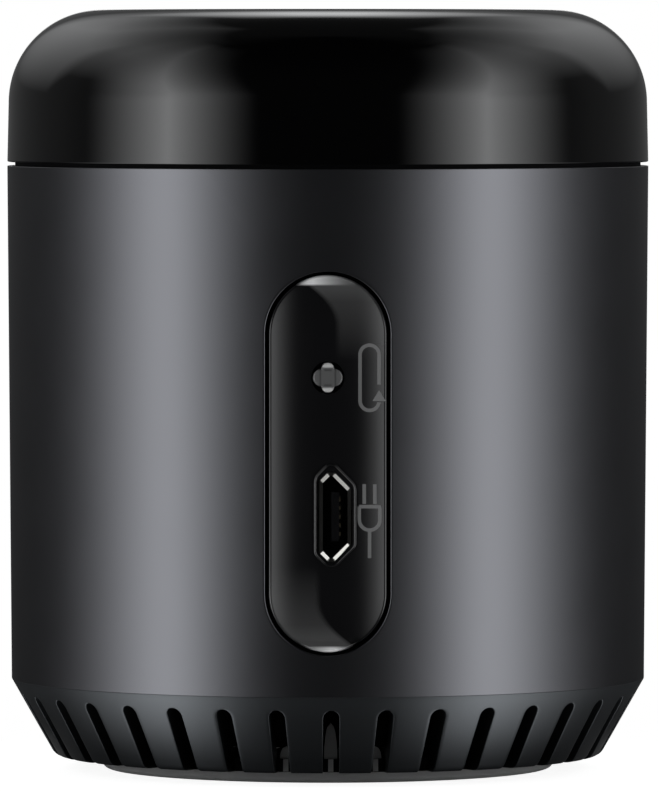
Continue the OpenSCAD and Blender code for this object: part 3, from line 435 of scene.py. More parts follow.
# Each finish: its colour, its roughness, and what makes it differ from plain plastic
reliefDepth = 0.00002
finishes = {
    "capGloss": ((0.0006, 0.0006, 0.0007), 0.09, dict(glossSpread=0.02, bump=0.01)),
    "sleeveMetal": ((0.104, 0.105, 0.113), 0.33, dict(metallic=1.0, mottle=0.05, broadScale=220,
                                                      fineScale=9000, glossSpread=0.03, bump=0.06)),
    "basePlastic": ((0.068, 0.073, 0.078), 0.33, dict(metallic=0.8, mottle=0.08, broadScale=260,
                                                      fineScale=7000, glossSpread=0.04, bump=0.08,
                                                      level=0.12)),
    "panelGloss": ((0.005, 0.005, 0.0055), 0.2, dict(glossSpread=0.03, bump=0.02, specular=0.62)),
    "buttonGrey": ((0.1, 0.1, 0.1), 0.35, dict(mottle=0.1, bump=0.1)),
    "footRubber": ((0.5, 0.5, 0.5), 0.6, dict(mottle=0.2, bump=0.4)),
    "markGrey": ((0.13, 0.13, 0.13), 0.5, dict(mottle=0.2, bump=0.1)),
    "platePlastic": ((0.012, 0.012, 0.013), 0.8, dict(bump=0.2, specular=0.02)),
    # painted light: the light grey of the shapes that stand for patches of light behind the slots
    "litPatchGrey": ((0.65, 0.65, 0.64), 0.45, dict(bump=0.2)),
    "chassisPlastic": ((0.004, 0.004, 0.0045), 0.6, dict(bump=0.2, specular=0.04)),
    "darkPlastic": ((0.004, 0.004, 0.005), 0.5, dict(bump=0.2, specular=0.15)),
    "switchPlastic": ((0.55, 0.53, 0.47), 0.45, {}),
    "tinSheet": ((0.75, 0.74, 0.7), 0.16, dict(metallic=1.0, mottle=0.12, broadScale=600, fineScale=9000,
                                               glossSpread=0.08, bump=0.05)),
    "goldPlate": ((0.83, 0.6, 0.26), 0.25, dict(metallic=1.0, mottle=0.1, broadScale=800)),
    # painted shade: the socket's gold contacts are darkened nearly to black for the shade deep in the socket
    "paintedShadeGold": ((0.03, 0.023, 0.011), 0.5, dict(metallic=0.3, mottle=0.1, broadScale=800)),
    "screwSteel": ((0.5, 0.5, 0.51), 0.3, dict(metallic=1.0, mottle=0.2, broadScale=900)),
    "greenBoard": ((0.03, 0.16, 0.06), 0.35, dict(mottle=0.5, broadScale=900)),
    "blueBoard": ((0.02, 0.04, 0.13), 0.35, dict(mottle=0.5, broadScale=900)),
    "bareAluminium": ((0.7, 0.7, 0.7), 0.3, dict(metallic=1.0, mottle=0.1, broadScale=500)),
    "coilFerrite": ((0.12, 0.12, 0.12), 0.6, dict(mottle=0.4, broadScale=700, bump=0.4)),
    "chipResin": ((0.03, 0.03, 0.03), 0.55, dict(bump=0.3)),
    "solderTin": ((0.7, 0.7, 0.68), 0.3, dict(metallic=1.0, mottle=0.2, broadScale=1500)),
    "tanCeramic": ((0.45, 0.33, 0.2), 0.4, dict(mottle=0.3, broadScale=1500)),
    "blackCeramic": ((0.05, 0.05, 0.05), 0.4, dict(mottle=0.3, broadScale=1500)),
    "lampResin": ((0.55, 0.62, 0.75), 0.08, dict(mottle=0.1, coat=0.3)),
    "eyeResin": ((0.04, 0.03, 0.035), 0.12, dict(mottle=0.2)),
    "statusWhite": ((0.8, 0.8, 0.76), 0.3, dict(mottle=0.05)),
}
materials = {name: makeMaterial(name, colour, roughness, **rest)
             for name, (colour, roughness, rest) in finishes.items()}

# Painted light: the finish, its group and what that is given, and the colour that each mask lays on
painted = (
    # painted highlight on the dish's steep ends, and a painted sheen beside them
    ("panelGloss", dishPaintedSheen, dishSizes, {"Painted Zone": (0.1, 0.1, 0.1), "Painted Crescent": (1, 1, 1)}),
    # painted shade, darker towards the bottom of the base ring
    ("basePlastic", ringPaintedShade, ringShade, {"Mask": (0.021, 0.023, 0.025)}),
    # painted highlight on the button's upper and lower lobe ends, and painted shade in its grooves
    ("buttonGrey", crossPaintedLight, crossSizes, {"Lobe": (0.52, 0.52, 0.51), "Groove": (0.04, 0.04, 0.04)}),
)
for finishName, group, sizes, layers in painted:
    masks = addGroup(materials[finishName], group, sizes)
    for maskName, colour in layers.items():
        blendColour(materials[finishName], masks[maskName], colour)
print("made", len(materials), "finishes")


# Top cap: a turned shell with a rounded shoulder

cap = {"radius": 25.0, "draft": 0.1, "bottom": 47.28, "top": 59.1, "corner": 7.2, "wall": 1.6,
       "edge": 0.09, "inset": 0.05, "gap": 0.02, "wallRows": 7, "topRows": 9, "cornerSteps": 40,
       "innerSteps": 12, "edgeSteps": 5, "segments": 288}


def capProfile():
    # up the outside wall, round the shoulder to the middle of the top, and back down the inside
    radius, bottom, top, gap = cap["radius"], cap["bottom"], cap["top"], cap["gap"]
    corner, wall, edge = cap["corner"], cap["wall"], cap["edge"]
    topRadius = radius - cap["draft"]
    shoulder, level = topRadius - corner, top - corner
    return np.concatenate([
        [[radius - wall, bottom], [radius - edge - cap["inset"], bottom]],
        arcPoints(radius - edge, bottom + edge, edge, -90, 0, cap["edgeSteps"]),
        np.linspace([radius, bottom + edge + gap], [topRadius, level - gap], cap["wallRows"]),
        arcPoints(shoulder, level, corner, 0, 90, cap["cornerSteps"]),
        np.linspace([shoulder - cap["inset"], top], [0, top], cap["topRows"]),
        [[0, top - wall], [shoulder, top - wall]],
        arcPoints(shoulder, level, corner - wall, 90, 0, cap["innerSteps"]),
        [[radius - wall, bottom]],
    ])


capShell = makePiece("capShell", [revolve(capProfile(), cap["segments"])])
finishPiece(capShell, "capGloss", ["top_cap"])


# Sleeve: a slightly tapered metal tube with a long window for the ports

sleeve = {"wall": 1.5, "edge": 0.04, "gap": 0.02, "windowEdge": 0.08, "windowWidth": 9.5,
          "windowHeight": 29.1, "patchHalf": 9.2, "columns": 360, "firstRings": (0.02, 0.05, 0.09, 0.14),
          "laterRings": 14, "acrossPoints": 23, "topPoints": 23, "lowPoints": 18, "risePoints": 21,
          "edgePoints": 5, "wallPoints": 4, "endSteps": 6}


def sleeveRadius(z):
    share = (z - body["sleeveBottom"]) / (body["sleeveTop"] - body["sleeveBottom"])
    return body["bottomRadius"] + (body["topRadius"] - body["bottomRadius"]) * share


def windowStations(halfStraight, half, low, high):
    # Stations round an upright pill, closed, from the bottom through +X and the top: the height of each
    # one's centre, its outward direction, and where that direction meets the rectangle of the patch
    topCentre = body["windowMiddle"] + halfStraight
    lowCentre = body["windowMiddle"] - halfStraight
    across = half * np.sin(np.linspace(0, math.pi / 2, sleeve["acrossPoints"]))
    back = across[::-1]
    topAngle = np.linspace(0, math.atan2(high - topCentre, half), sleeve["topPoints"])
    lowAngle = np.linspace(math.atan2(low - lowCentre, half), 0, sleeve["lowPoints"])
    rise = np.linspace(lowCentre, topCentre, sleeve["risePoints"])

    def stations(centre, angle, x, z):
        return pointsOf(centre, np.cos(angle), np.sin(angle), x, z)

    right = np.concatenate([
        stations(lowCentre, np.arctan2(low - lowCentre, across), across, low)[:-1],
        stations(lowCentre, lowAngle, half, lowCentre + half * np.tan(lowAngle))[:-1],
        stations(rise, 0, half, rise)[:-1],
        stations(topCentre, topAngle, half, topCentre + half * np.tan(topAngle))[:-1],
        stations(topCentre, np.arctan2(high - topCentre, back), back, high),
    ])
    left = right[::-1] * [1, -1, 1, -1, 1]
    return np.concatenate([right, left[1:]])


def sleeveGrids():
    endEdge, edge, half = sleeve["edge"], sleeve["windowEdge"], sleeve["patchHalf"]
    low = body["sleeveBottom"] + endEdge + sleeve["gap"]
    high = body["sleeveTop"] - endEdge - sleeve["gap"]
    pillHalf = sleeve["windowWidth"] / 2
    centre, nx, nz, rectX, rectZ = windowStations(sleeve["windowHeight"] / 2 - pillHalf, half, low, high).T
    innerRadius = body["topRadius"] - sleeve["wall"]
    nominal = sleeveRadius(body["windowMiddle"])

    def outlineAt(grow):
        return (pillHalf + grow) * nx, centre + (pillHalf + grow) * nz

    def onTube(x, z, radius):
        return facing(x, np.sqrt(radius ** 2 - x ** 2), z)

    # Patch rings: from the window's outline to the rectangle, on the outer surface and on the inner one
    near = (0,) + sleeve["firstRings"]
    shares = np.append(near, np.linspace(near[-1], 1, sleeve["laterRings"] + 1)[1:])[:, None]
    startX, startZ = outlineAt(edge)
    startX = startX * nominal / sleeveRadius(startZ)
    patchZ = between(startZ, rectZ, shares)
    patchRadius = sleeveRadius(patchZ)
    outer = onTube(between(startX, rectX, shares) * patchRadius / nominal, patchZ, patchRadius)
    innerX, innerZ = outlineAt(0)
    inner = onTube(between(innerX, rectX * innerRadius / nominal, shares),
                   between(innerZ, rectZ, shares), innerRadius)

    # Window wall: a small round edge, then straight back to the inner surface
    turn = np.radians(np.linspace(0, 90, sleeve["edgePoints"]))[:, None]
    wallX, wallZ = outlineAt(edge * (1 - np.sin(turn)))
    rounded = facing(wallX, -outer[0, :, 1] - edge * (1 - np.cos(turn)), wallZ)
    share = np.linspace(0, 1, sleeve["wallPoints"])[:, None, None]
    wall = between(rounded[-1], inner[0], share)

    # The rest of the tube, in columns that meet the patch at its two upright edges
    startAngle = math.asin(half / nominal)
    columns = np.linspace(startAngle, tau - startAngle, sleeve["columns"] + 1)
    rows = np.unique(np.round(rectZ[np.isclose(rectX, half)], 9))[:, None]
    tubes = [aroundAxis(columns, radius, rows) for radius in (sleeveRadius(rows), innerRadius)]

    # Both ends: the outer edge is rounded, and the end face runs in to the inner wall
    topX = np.unique(np.round(rectX[np.isclose(rectZ, high)], 9))
    allAngles = np.concatenate([np.arcsin(topX / nominal), columns[1:]])
    for level, limit, sign in ((high, body["sleeveTop"], 1), (low, body["sleeveBottom"], -1)):
        rim = sleeveRadius(limit) - endEdge
        profile = np.concatenate([
            [[sleeveRadius(level), level]],
            arcPoints(rim, limit - sign * endEdge, endEdge, 0, sign * 90, sleeve["endSteps"]),
            [[rim - endEdge, limit], [innerRadius, limit], [innerRadius, level]],
        ])
        tubes.append(aroundAxis(allAngles, profile[:, :1], profile[:, 1:]))
    return [outer, inner, rounded, wall] + tubes


sleeveTube = makePiece("sleeveTube", sleeveGrids())
finishPiece(sleeveTube, "sleeveMetal", ["body_sleeve"])


# Base ring: a leaning wall with upright slots that are open at the bottom

ring = {"bottomRadius": 21.3, "round": 0.9, "plateRadius": 19.65, "floor": 1.0, "top": 7.0,
        "topEdge": 0.03, "count": 36, "slotHalf": 0.625, "slotTop": 6.0, "slotEdge": 0.05, "turn": 0.65,
        "topSpread": 1.3, "wallTopIn": 22.2, "wallLowIn": 19.65, "innerStart": 2.0, "collarIn": 22.2,
        "collarOut": 23.4, "collarTop": 9.0, "collarSink": 0.3, "ledgeIn": 18.55, "ledgeOut": 20.0,
        "ledgeLow": 2.0, "ledgeTop": 2.8, "footSteps": 6, "wallRows": 7, "crownRows": 9, "columns": 7,
        "edgeTurns": (30, 60, 90), "aboveRows": 4, "topTurn": 10, "ledgePoints": 4, "collarSegments": 144}


def ringGrids():
    half, edge, topEdge = ring["slotHalf"], ring["slotEdge"], ring["topEdge"]
    rim, top, slotTop = body["bottomRadius"], ring["top"], ring["slotTop"]
    sector = math.pi / ring["count"]

    # Outer profile: from the ring's inner bottom edge, round its foot and up the leaning wall
    lean = math.atan2(rim - ring["bottomRadius"], top - ring["floor"])
    slope = math.tan(lean)
    middle = ring["bottomRadius"] - ring["round"] * (1 - math.sin(lean)) / math.cos(lean)
    foot = arcPoints(middle, ring["floor"] + ring["round"], ring["round"],
                     -90, -math.degrees(lean), ring["footSteps"])

    def outerRadius(z):
        return foot[-1, 0] + (z - foot[-1, 1]) * slope

    def innerRadius(z):
        share = np.clip((z - ring["innerStart"]) / (top - ring["innerStart"]), 0, 1)
        return ring["wallLowIn"] + (ring["wallTopIn"] - ring["wallLowIn"]) * share

    # Rows below the crown: bottom strip, round foot, straight wall; then the crown by angle
    crownZ = slotTop - half
    wallZ = np.linspace(foot[-1, 1], crownZ, ring["wallRows"])[1:]
    start = [[ring["plateRadius"], ring["floor"]]]
    low = np.concatenate([start, foot, pointsOf(outerRadius(wallZ), wallZ)])
    crown = np.radians(np.linspace(0, 90, ring["crownRows"]))[1:]

    def slotRow(grow):
        # Half width and height of the slot's outline at every row, grown by one amount. The first row
        # isn't grown, so that the outer and inner sheets meet there.
        width = np.concatenate([[half], np.full(len(low) - 1, half + grow), (half + grow) * np.cos(crown)])
        height = np.concatenate([low[:, 1], crownZ + (half + grow) * np.sin(crown)])
        radius = np.concatenate([low[:, 0], outerRadius(height[len(low):])])
        return width, height, radius

    width, height, radius = slotRow(edge)
    share = np.linspace(1, 0, ring["columns"])
    startAngle = np.arcsin(width / radius)[:, None]
    outerSheet = aroundAxis(startAngle + (sector - startAngle) * share, radius[:, None], height[:, None])
    edgeRows = []
    for turn in np.radians(ring["edgeTurns"]):
        width, height, radius = slotRow(edge * (1 - math.sin(turn)))
        sunk = np.maximum(radius - edge * (1 - math.cos(turn)), innerRadius(height))
        edgeRows.append(aroundAxis(np.arcsin(width / radius), sunk, height))
    width, height, _ = slotRow(0)
    inRadius = innerRadius(height)
    inAngle = np.arcsin(width / inRadius)[:, None]
    innerSheet = aroundAxis(inAngle + (sector - inAngle) * share[::-1], inRadius[:, None], height[:, None])
    below = np.concatenate([outerSheet, np.stack(edgeRows, 1), innerSheet], axis=1)

    # Rows above the crown: up the wall, over the rounded top edge, and down the inside
    upper = np.linspace(slotTop + edge, top - topEdge, ring["aboveRows"])
    above = np.concatenate([
        pointsOf(outerRadius(upper), upper),
        arcPoints(rim - topEdge * ring["topSpread"], top - topEdge, topEdge,
                  ring["topTurn"], 90, ring["aboveRows"]),
        [[ring["wallTopIn"], top], [innerRadius(slotTop), slotTop]],
    ])
    sheets = [below, aroundAxis(sector * share, above[:, :1], above[:, 1:])]
    sheets += [grid * [-1, 1, 1] for grid in sheets]

    # A ledge between each two slots, and one collar inside the sleeve
    inset = math.asin(half / ring["ledgeIn"])
    section = boxSection(ring["ledgeIn"], ring["ledgeOut"], ring["ledgeLow"], ring["ledgeTop"])
    span = np.linspace(inset, 2 * sector - inset, ring["ledgePoints"])
    ledge = aroundAxis(span, section[:, :1], section[:, 1:])
    sheets += [ledge, lid(ledge[:, 0]), lid(ledge[:, -1])]
    turns = math.radians(ring["turn"]) + np.arange(ring["count"]) * tau / ring["count"]
    collar = boxSection(ring["collarIn"], ring["collarOut"], top - ring["collarSink"], ring["collarTop"])
    sectors = [grid @ spinMatrix(turn) for turn in turns for grid in sheets]
    return sectors + [revolve(collar, ring["collarSegments"])]


slottedRing = makePiece("slottedRing", ringGrids(), sharpAngle=50)
finishPiece(slottedRing, "basePlastic", ["base_ring"])


# Foot: a rubber disc with a rounded edge

foot = {"radius": 17.6, "height": 1.5, "round": 0.45, "inset": 0.05, "strip": 1, "topEdge": 0.1, "steps": 8,
        "segments": 192}


def footProfile():
    edge, radius, height, strip = foot["round"], foot["radius"], foot["height"], foot["topEdge"]
    return np.concatenate([
        [[0, 0], [radius - edge - foot["strip"], 0], [radius - edge - foot["inset"], 0]],
        arcPoints(radius - edge, edge, edge, -90, 0, foot["steps"]),
        [[radius, height - strip], [radius - strip, height], [0, height]],
    ])


footDisc = makePiece("footDisc", [revolve(footProfile(), foot["segments"])])
finishPiece(footDisc, "footRubber", ["foot_pad"])


# Port panel: a gloss insert with a long shallow dish, two openings and a moulded lip

panel = {"width": 8.94, "height": 28.54, "back": 22.2, "edge": 0.18, "strip": 0.04, "dishRadius": 11.5,
         "dishFloor": 23.5, "dishEnd": 13.47, "rampRise": 1.3, "ramp": 0.9, "drumSpare": 0.5,
         "spacing": 0.3, "backSpacing": 1.5, "buttonX": 0.005, "buttonZ": 31.2, "buttonHole": 1.25,
         "holePoints": 48, "lipMiddle": 0.31, "lipHalf": 0.11, "lipHeight": 0.15, "lipTop": 0.25,
         "lipTurn": (-25, 205, 13), "holeGrow": 0.06, "arcSteps": 40, "sideSteps": 46, "edgePoints": 6,
         "wallPoints": 5}
port = {"x": 0.56, "z": 20.65, "halfThick": 1.205, "halfWide": 3.375, "smallCut": 0.68, "largeCut": 1.28,
        "corner": 0.3, "cornerSteps": 5, "sheet": 0.27, "mouth": 23.72, "length": 6.2, "bevel": 0.155,
        "rim": 0.5, "slantFrom": 0.9, "tabLength": 1.2, "tabWidth": 0.8, "frontTab": 19.0,
        "backTab": 0.05}


def dishDepth(x, z):
    # How far the panel's face lies towards -Y: the sleeve's own surface, or an upright drum that is
    # pressed into it and tapers quickly at both ends
    away = np.abs(z - body["windowMiddle"]) - panel["dishEnd"]
    share = np.clip(away / panel["ramp"], 0, None)
    drum = panel["dishRadius"] - panel["rampRise"] * share
    drum = np.maximum(drum, np.abs(x) + panel["drumSpare"])
    pressed = panel["dishFloor"] + panel["dishRadius"] - np.sqrt(drum ** 2 - x ** 2)
    surface = np.sqrt(sleeveRadius(z) ** 2 - x ** 2)
    return np.minimum(pressed, surface)


def pillLoop(grow):
    # the panel's upright pill as one closed loop of x and z, grown by one amount
    radius = panel["width"] / 2 + grow
    half = (panel["height"] - panel["width"]) / 2
    middle = body["windowMiddle"]
    rise = np.linspace(-half, half, panel["sideSteps"] + 1)[:-1]
    return np.concatenate([
        pointsOf(radius, middle + rise),
        arcPoints(0, middle + half, radius, 0, 180, panel["arcSteps"])[:-1],
        pointsOf(-radius, middle - rise),
        arcPoints(0, middle - half, radius, 180, 360, panel["arcSteps"])[:-1],
    ])


def socketLoop(grow):
    # the socket's outline with every corner rounded: inset corners plus a turning direction
    steps = port["cornerSteps"]
    x, z, small, large = port["halfThick"], port["halfWide"], port["smallCut"], port["largeCut"]
    corners = np.array([[-x, -z + small], [-x + small, -z], [x - large, -z], [x, -z + large],
                        [x, z - large], [x - large, z], [-x + small, z], [-x, z - small]])
    ahead = np.roll(corners, -1, axis=0) - corners
    ahead /= np.linalg.norm(ahead, axis=1)[:, None]
    leaving = pointsOf(ahead[:, 1], -ahead[:, 0])
    arriving = np.roll(leaving, 1, axis=0)
    inset = corners - port["corner"] * (leaving + arriving) / (1 + (leaving * arriving).sum(1))[:, None]
    fromAngle = np.arctan2(arriving[:, 1], arriving[:, 0])
    sweep = (np.arctan2(leaving[:, 1], leaving[:, 0]) - fromAngle) % tau
    angle = (fromAngle[:, None] + sweep[:, None] * np.linspace(0, 1, steps + 1)).ravel()
    centre = np.repeat(inset, steps + 1, axis=0)
    direction = pointsOf(np.cos(angle), np.sin(angle))
    return np.array([port["x"], port["z"]]) + centre + (port["corner"] + grow) * direction, direction


def closeLoop(loop):
    return np.concatenate([loop, loop[:1]])


def loopRow(loop, depth):
    loop = closeLoop(loop)
    return facing(loop[:, 0], depth, loop[:, 1])


def dishRow(loop):
    return dishDepth(*closeLoop(loop).T)


def panelParts():
    edge, backDepth = panel["edge"], panel["back"]
    rim, side = pillLoop(-edge), pillLoop(0)
    inside = pillLoop(-edge - panel["strip"])
    keyHole = arcPoints(panel["buttonX"], panel["buttonZ"], panel["buttonHole"],
                        0, 360, panel["holePoints"])[:-1]
    portHole, _ = socketLoop(panel["holeGrow"])
    bends = [body["windowMiddle"] - panel["dishEnd"], body["windowMiddle"] + panel["dishEnd"]]
    flat, triangles = fillLoops([inside, portHole, keyHole], panel["spacing"], bends)
    front = facing(flat[:, 0], dishDepth(flat[:, 0], flat[:, 1]), flat[:, 1])
    backFlat, backTriangles = fillLoops([side, portHole, keyHole], panel["backSpacing"])
    back = facing(backFlat[:, 0], backDepth, backFlat[:, 1])

    rows = [loopRow(inside, dishRow(inside))]
    for turn in np.radians(np.linspace(0, 90, panel["edgePoints"])):
        loop = pillLoop(-edge * (1 - math.sin(turn)))
        rows.append(loopRow(loop, dishRow(rim) - edge * (1 - math.cos(turn))))
    rows.append(loopRow(side, backDepth))
    grids = [np.stack(rows)]
    for loop in (portHole, keyHole):
        shares = np.linspace(0, 1, panel["wallPoints"])
        grids.append(np.stack([loopRow(loop, between(dishRow(loop), backDepth, share)) for share in shares]))

    # Lip: a half-round bead that follows the socket's outline on the dish
    bead = []
    for turn in np.radians(np.linspace(*panel["lipTurn"])):
        loop, outward = socketLoop(panel["lipMiddle"] + panel["lipHalf"] * math.cos(turn))
        loop[:, 1] += panel["lipTop"] * np.clip(outward[:, 1], 0, None)
        bead.append(loopRow(loop, dishRow(loop) + panel["lipHeight"] * math.sin(turn)))
    grids.append(np.stack(bead + bead[:1]))
    return grids, [(front, triangles), (back, backTriangles)]


portPanel = makePiece("portPanel", *panelParts(), sharpAngle=50)
finishPiece(portPanel, "panelGloss", ["port_panel"])


# Power socket's shell: folded tin sheet, with its slanting corners turned out a little

def shellGrids():
    _, direction = socketLoop(0)
    slant = np.abs(2 * direction[:, 0] * direction[:, 1]) - port["slantFrom"]
    slant = np.clip(closeLoop(slant) / (1 - port["slantFrom"]), 0, 1)
    mouth, sheet = port["mouth"], port["sheet"]
    back = mouth - port["length"]
    sections = [(0, back), (0, mouth - port["rim"])]
    sections += [(share, mouth - port["bevel"] * slant * (1 - share)) for share in (0, 0.5, 1)]
    sections += [(1, mouth - port["rim"]), (1, back), (0, back)]
    grids = [np.stack([loopRow(socketLoop(-sheet * share)[0], depth) for share, depth in sections])]
    boardFace = port["x"] - port["halfThick"]
    for side in (-1, 1):
        for place in (port["frontTab"], back + port["backTab"]):
            level = port["z"] + side * (port["halfWide"] - port["smallCut"])
            far = level + side * (port["tabLength"] + port["smallCut"])
            x, depth = boxSection(boardFace, boardFace + sheet, place, place + port["tabWidth"]).T
            tab = np.stack([facing(x, depth, z) for z in (level, far)])
            grids += [tab, lid(tab[0]), lid(tab[1])]
    return grids


portShell = makePiece("portShell", shellGrids(), sharpAngle=12)
finishPiece(portShell, "tinSheet", ["usb_shell"])


# Reset button: a cross-shaped head with a soft crown, a flange and a stem

button = {"x": 0.005, "z": 31.2, "reach": 1.125, "barHalf": 0.67, "uprightHalf": 0.5, "front": 23.76,
          "crown": 0.16, "shrink": 0.16, "shoulder": (15, 90, 6),
          "top": ((0.55, 0.02), (0.25, 0.03), (0, 0.03)), "back": 21.95, "flange": 1.7,
          "flangeBack": 21.7, "flangeFront": 22.2, "stem": 0.9, "stemEnd": 21.35, "steps": 96}


def crossRadius(angle):
    # distance from the middle to the outline of two crossed pills
    def pillDistance(along, across, halfWidth):
        straight = button["reach"] - halfWidth
        flat = halfWidth / np.maximum(across, 1e-9)
        rounded = straight * along + np.sqrt(np.maximum(halfWidth ** 2 - (straight * across) ** 2, 0))
        return np.where(flat * along <= straight, flat, rounded)

    cos, sin = np.abs(np.cos(angle)), np.abs(np.sin(angle))
    bar = pillDistance(cos, sin, button["barHalf"])
    return np.maximum(bar, pillDistance(sin, cos, button["uprightHalf"]))


def buttonGrids():
    angle = np.linspace(0, tau, button["steps"] + 1)
    front, back, crown = button["front"], button["back"], button["crown"]
    stem, flange = button["stem"], button["flange"]
    turn = np.radians(np.linspace(*button["shoulder"]))
    head = np.concatenate([
        [[0, back], [1, back], [1, front - crown]],
        pointsOf(1 - button["shrink"] * (1 - np.cos(turn)), front - crown * (1 - np.sin(turn))),
        button["top"] + np.array([0, front]),
    ])
    turned = np.array([[0, button["stemEnd"]], [stem, button["stemEnd"]],
                       [stem, button["flangeBack"]], [flange, button["flangeBack"]],
                       [flange, button["flangeFront"]], [0, button["flangeFront"]]])
    grids = []
    for profile, reach in ((head, crossRadius(angle)), (turned, 1)):
        across = profile[:, :1] * reach
        grids.append(facing(button["x"] + across * np.cos(angle), profile[:, 1:],
                            button["z"] + across * np.sin(angle)))
    return grids


resetButton = makePiece("resetButton", buttonGrids(), sharpAngle=50)
finishPiece(resetButton, "buttonGrey", ["reset_button"], "reset_key")


# Port marks: a loop arrow beside the button and a plug beside the socket, as thin grey print

marks = {"lift": 0.012, "thickness": 0.03, "stroke": 0.27, "x": 3.16, "resetZ": 31.2, "powerZ": 20.55,
         "arrowHalf": 0.72, "arrowStraight": 1.75, "arrowEnd": -0.5, "arrowTurn": 352, "headTop": -0.95,
         "headWidths": (1.0, 0.05, 6), "plugHalf": 0.78, "plugTop": 0.9, "plugLow": -0.1,
         "turnSteps": 16, "arrowPoints": (12, 17), "headPoints": 6, "plugPoints": 9, "cordPoints": 10,
         "prongs": (-0.4, 0.4), "prongLow": 1.1, "prongTop": 2.6, "cordTop": -1, "cordEnd": -3}


def strokeGrid(points, width):
    # a flat ribbon along a path of x and z, closed all round and bent onto the dish
    points = np.asarray(points, float)
    ahead = np.gradient(points, axis=0)
    ahead /= np.maximum(np.linalg.norm(ahead, axis=1), 1e-9)[:, None]
    aside = pointsOf(ahead[:, 1], -ahead[:, 0])
    width = np.broadcast_to(width, len(points))[:, None]
    rows = []
    for sign, lift in ((1, 1), (-1, 1), (-1, 0), (1, 0), (1, 1)):
        place = points + sign * aside * width / 2
        depth = dishDepth(place[:, 0], place[:, 1]) + marks["lift"] - marks["thickness"] * (1 - lift)
        rows.append(facing(place[:, 0], depth, place[:, 1]))
    grid = np.stack(rows)
    return [grid, lid(grid[:, 0]), lid(grid[:, -1])]


def markGrids():
    stroke, half, straight = marks["stroke"], marks["arrowHalf"], marks["arrowStraight"]
    plugHalf, plugTop, plugLow = marks["plugHalf"], marks["plugTop"], marks["plugLow"]
    loopMiddle = np.array([marks["x"], marks["resetZ"]])
    plugMiddle = np.array([marks["x"], marks["powerZ"]])
    steps, points = marks["turnSteps"], marks["plugPoints"]
    rightPoints, leftPoints = marks["arrowPoints"]
    corners = [(-plugHalf, plugTop), (plugHalf, plugTop), (plugHalf, plugLow), (-plugHalf, plugLow)]
    arrow = np.concatenate([
        np.linspace((half, marks["arrowEnd"]), (half, straight), rightPoints),
        arcPoints(0, straight, half, 0, 180, steps)[1:],
        np.linspace((-half, straight), (-half, -straight), leftPoints)[1:],
        arcPoints(0, -straight, half, 180, marks["arrowTurn"], steps)[1:],
    ])
    head = np.linspace((half, -straight), (half, marks["headTop"]), marks["headPoints"])
    plug = np.concatenate([
        np.linspace(corners[0], corners[1], points),
        np.linspace(corners[1], corners[2], points)[1:],
        arcPoints(0, plugLow, plugHalf, 0, -180, steps)[1:],
        np.linspace(corners[3], corners[0], points)[1:],
    ])
    grids = strokeGrid(loopMiddle + arrow, stroke)
    grids += strokeGrid(loopMiddle + head, np.linspace(*marks["headWidths"]))
    grids += strokeGrid(plugMiddle + plug, stroke)
    for x in marks["prongs"]:
        prong = np.linspace((x, marks["prongLow"]), (x, marks["prongTop"]), marks["headPoints"])
        grids += strokeGrid(plugMiddle + prong, stroke)
    cord = np.linspace((0, marks["cordTop"]), (0, marks["cordEnd"]), marks["cordPoints"])
    return grids + strokeGrid(plugMiddle + cord, stroke)


portMarks = makePiece("portMarks", markGrids(), sharpAngle=30)
finishPiece(portMarks, "markGrey", [])


# Painted light: at each of the three screw bosses a light grey pointed shape and two low ones stand on the
# plate's rim, behind the slots, each with a narrow fin on the rim's own face, for patches of light through
# the slots

litPatches = {"turn": 0.65, "bosses": 3, "step": 10, "inner": 18.3, "outer": 19.45, "low": 1.95, "half": 0.5,
        "tip": 4.72, "lowTip": 2.95, "power": 2.4, "points": 9, "finHalf": 0.2, "finFoot": 1.05,
        "finOuter": 19.72, "overlap": 0.05, "sink": 0.1}


def prism(outline, innerRadius, outerRadius, angle):
    # an outline of aside and z carried from one radius to another, closed by lids
    loop = closeLoop(outline)
    middle = outline.mean(0)
    rows = []
    for share, radius in ((0, innerRadius), (1, innerRadius), (1, outerRadius), (0, outerRadius)):
        place = middle + (loop - middle) * share
        rows.append(facing(place[:, 0], radius, place[:, 1]))
    return np.stack(rows) @ spinMatrix(angle)


def litPatchOutline(tip):
    # straight sides that lean together into a rounded point
    rise = np.linspace(0, 1, litPatches["points"])
    side = litPatches["half"] * np.sqrt(1 - rise ** litPatches["power"])
    z = litPatches["low"] + (tip - litPatches["low"]) * rise
    return np.concatenate([pointsOf(side, z), pointsOf(-side[-2::-1], z[-2::-1])])


def litPatchGrids():
    finHalf, finFoot, finTop = litPatches["finHalf"], litPatches["finFoot"], litPatches["low"] + litPatches["overlap"]
    fin = np.array([[-finHalf, finFoot], [finHalf, finFoot], [finHalf, finTop], [-finHalf, finTop]])
    grids = []
    for boss in range(litPatches["bosses"]):
        for step, tip in ((0, litPatches["tip"]), (-1, litPatches["lowTip"]), (1, litPatches["lowTip"])):
            angle = math.radians(litPatches["turn"] + 360 / litPatches["bosses"] * boss + litPatches["step"] * step)
            grids.append(prism(litPatchOutline(tip), litPatches["inner"], litPatches["outer"], angle))
            grids.append(prism(fin, litPatches["outer"] - litPatches["sink"], litPatches["finOuter"], angle))
    return grids


plateLitPatches = makePiece("plateLitPatches", litPatchGrids(), sharpAngle=50)
finishPiece(plateLitPatches, "litPatchGrey", [])


# Finishes of the solids that stay as they are

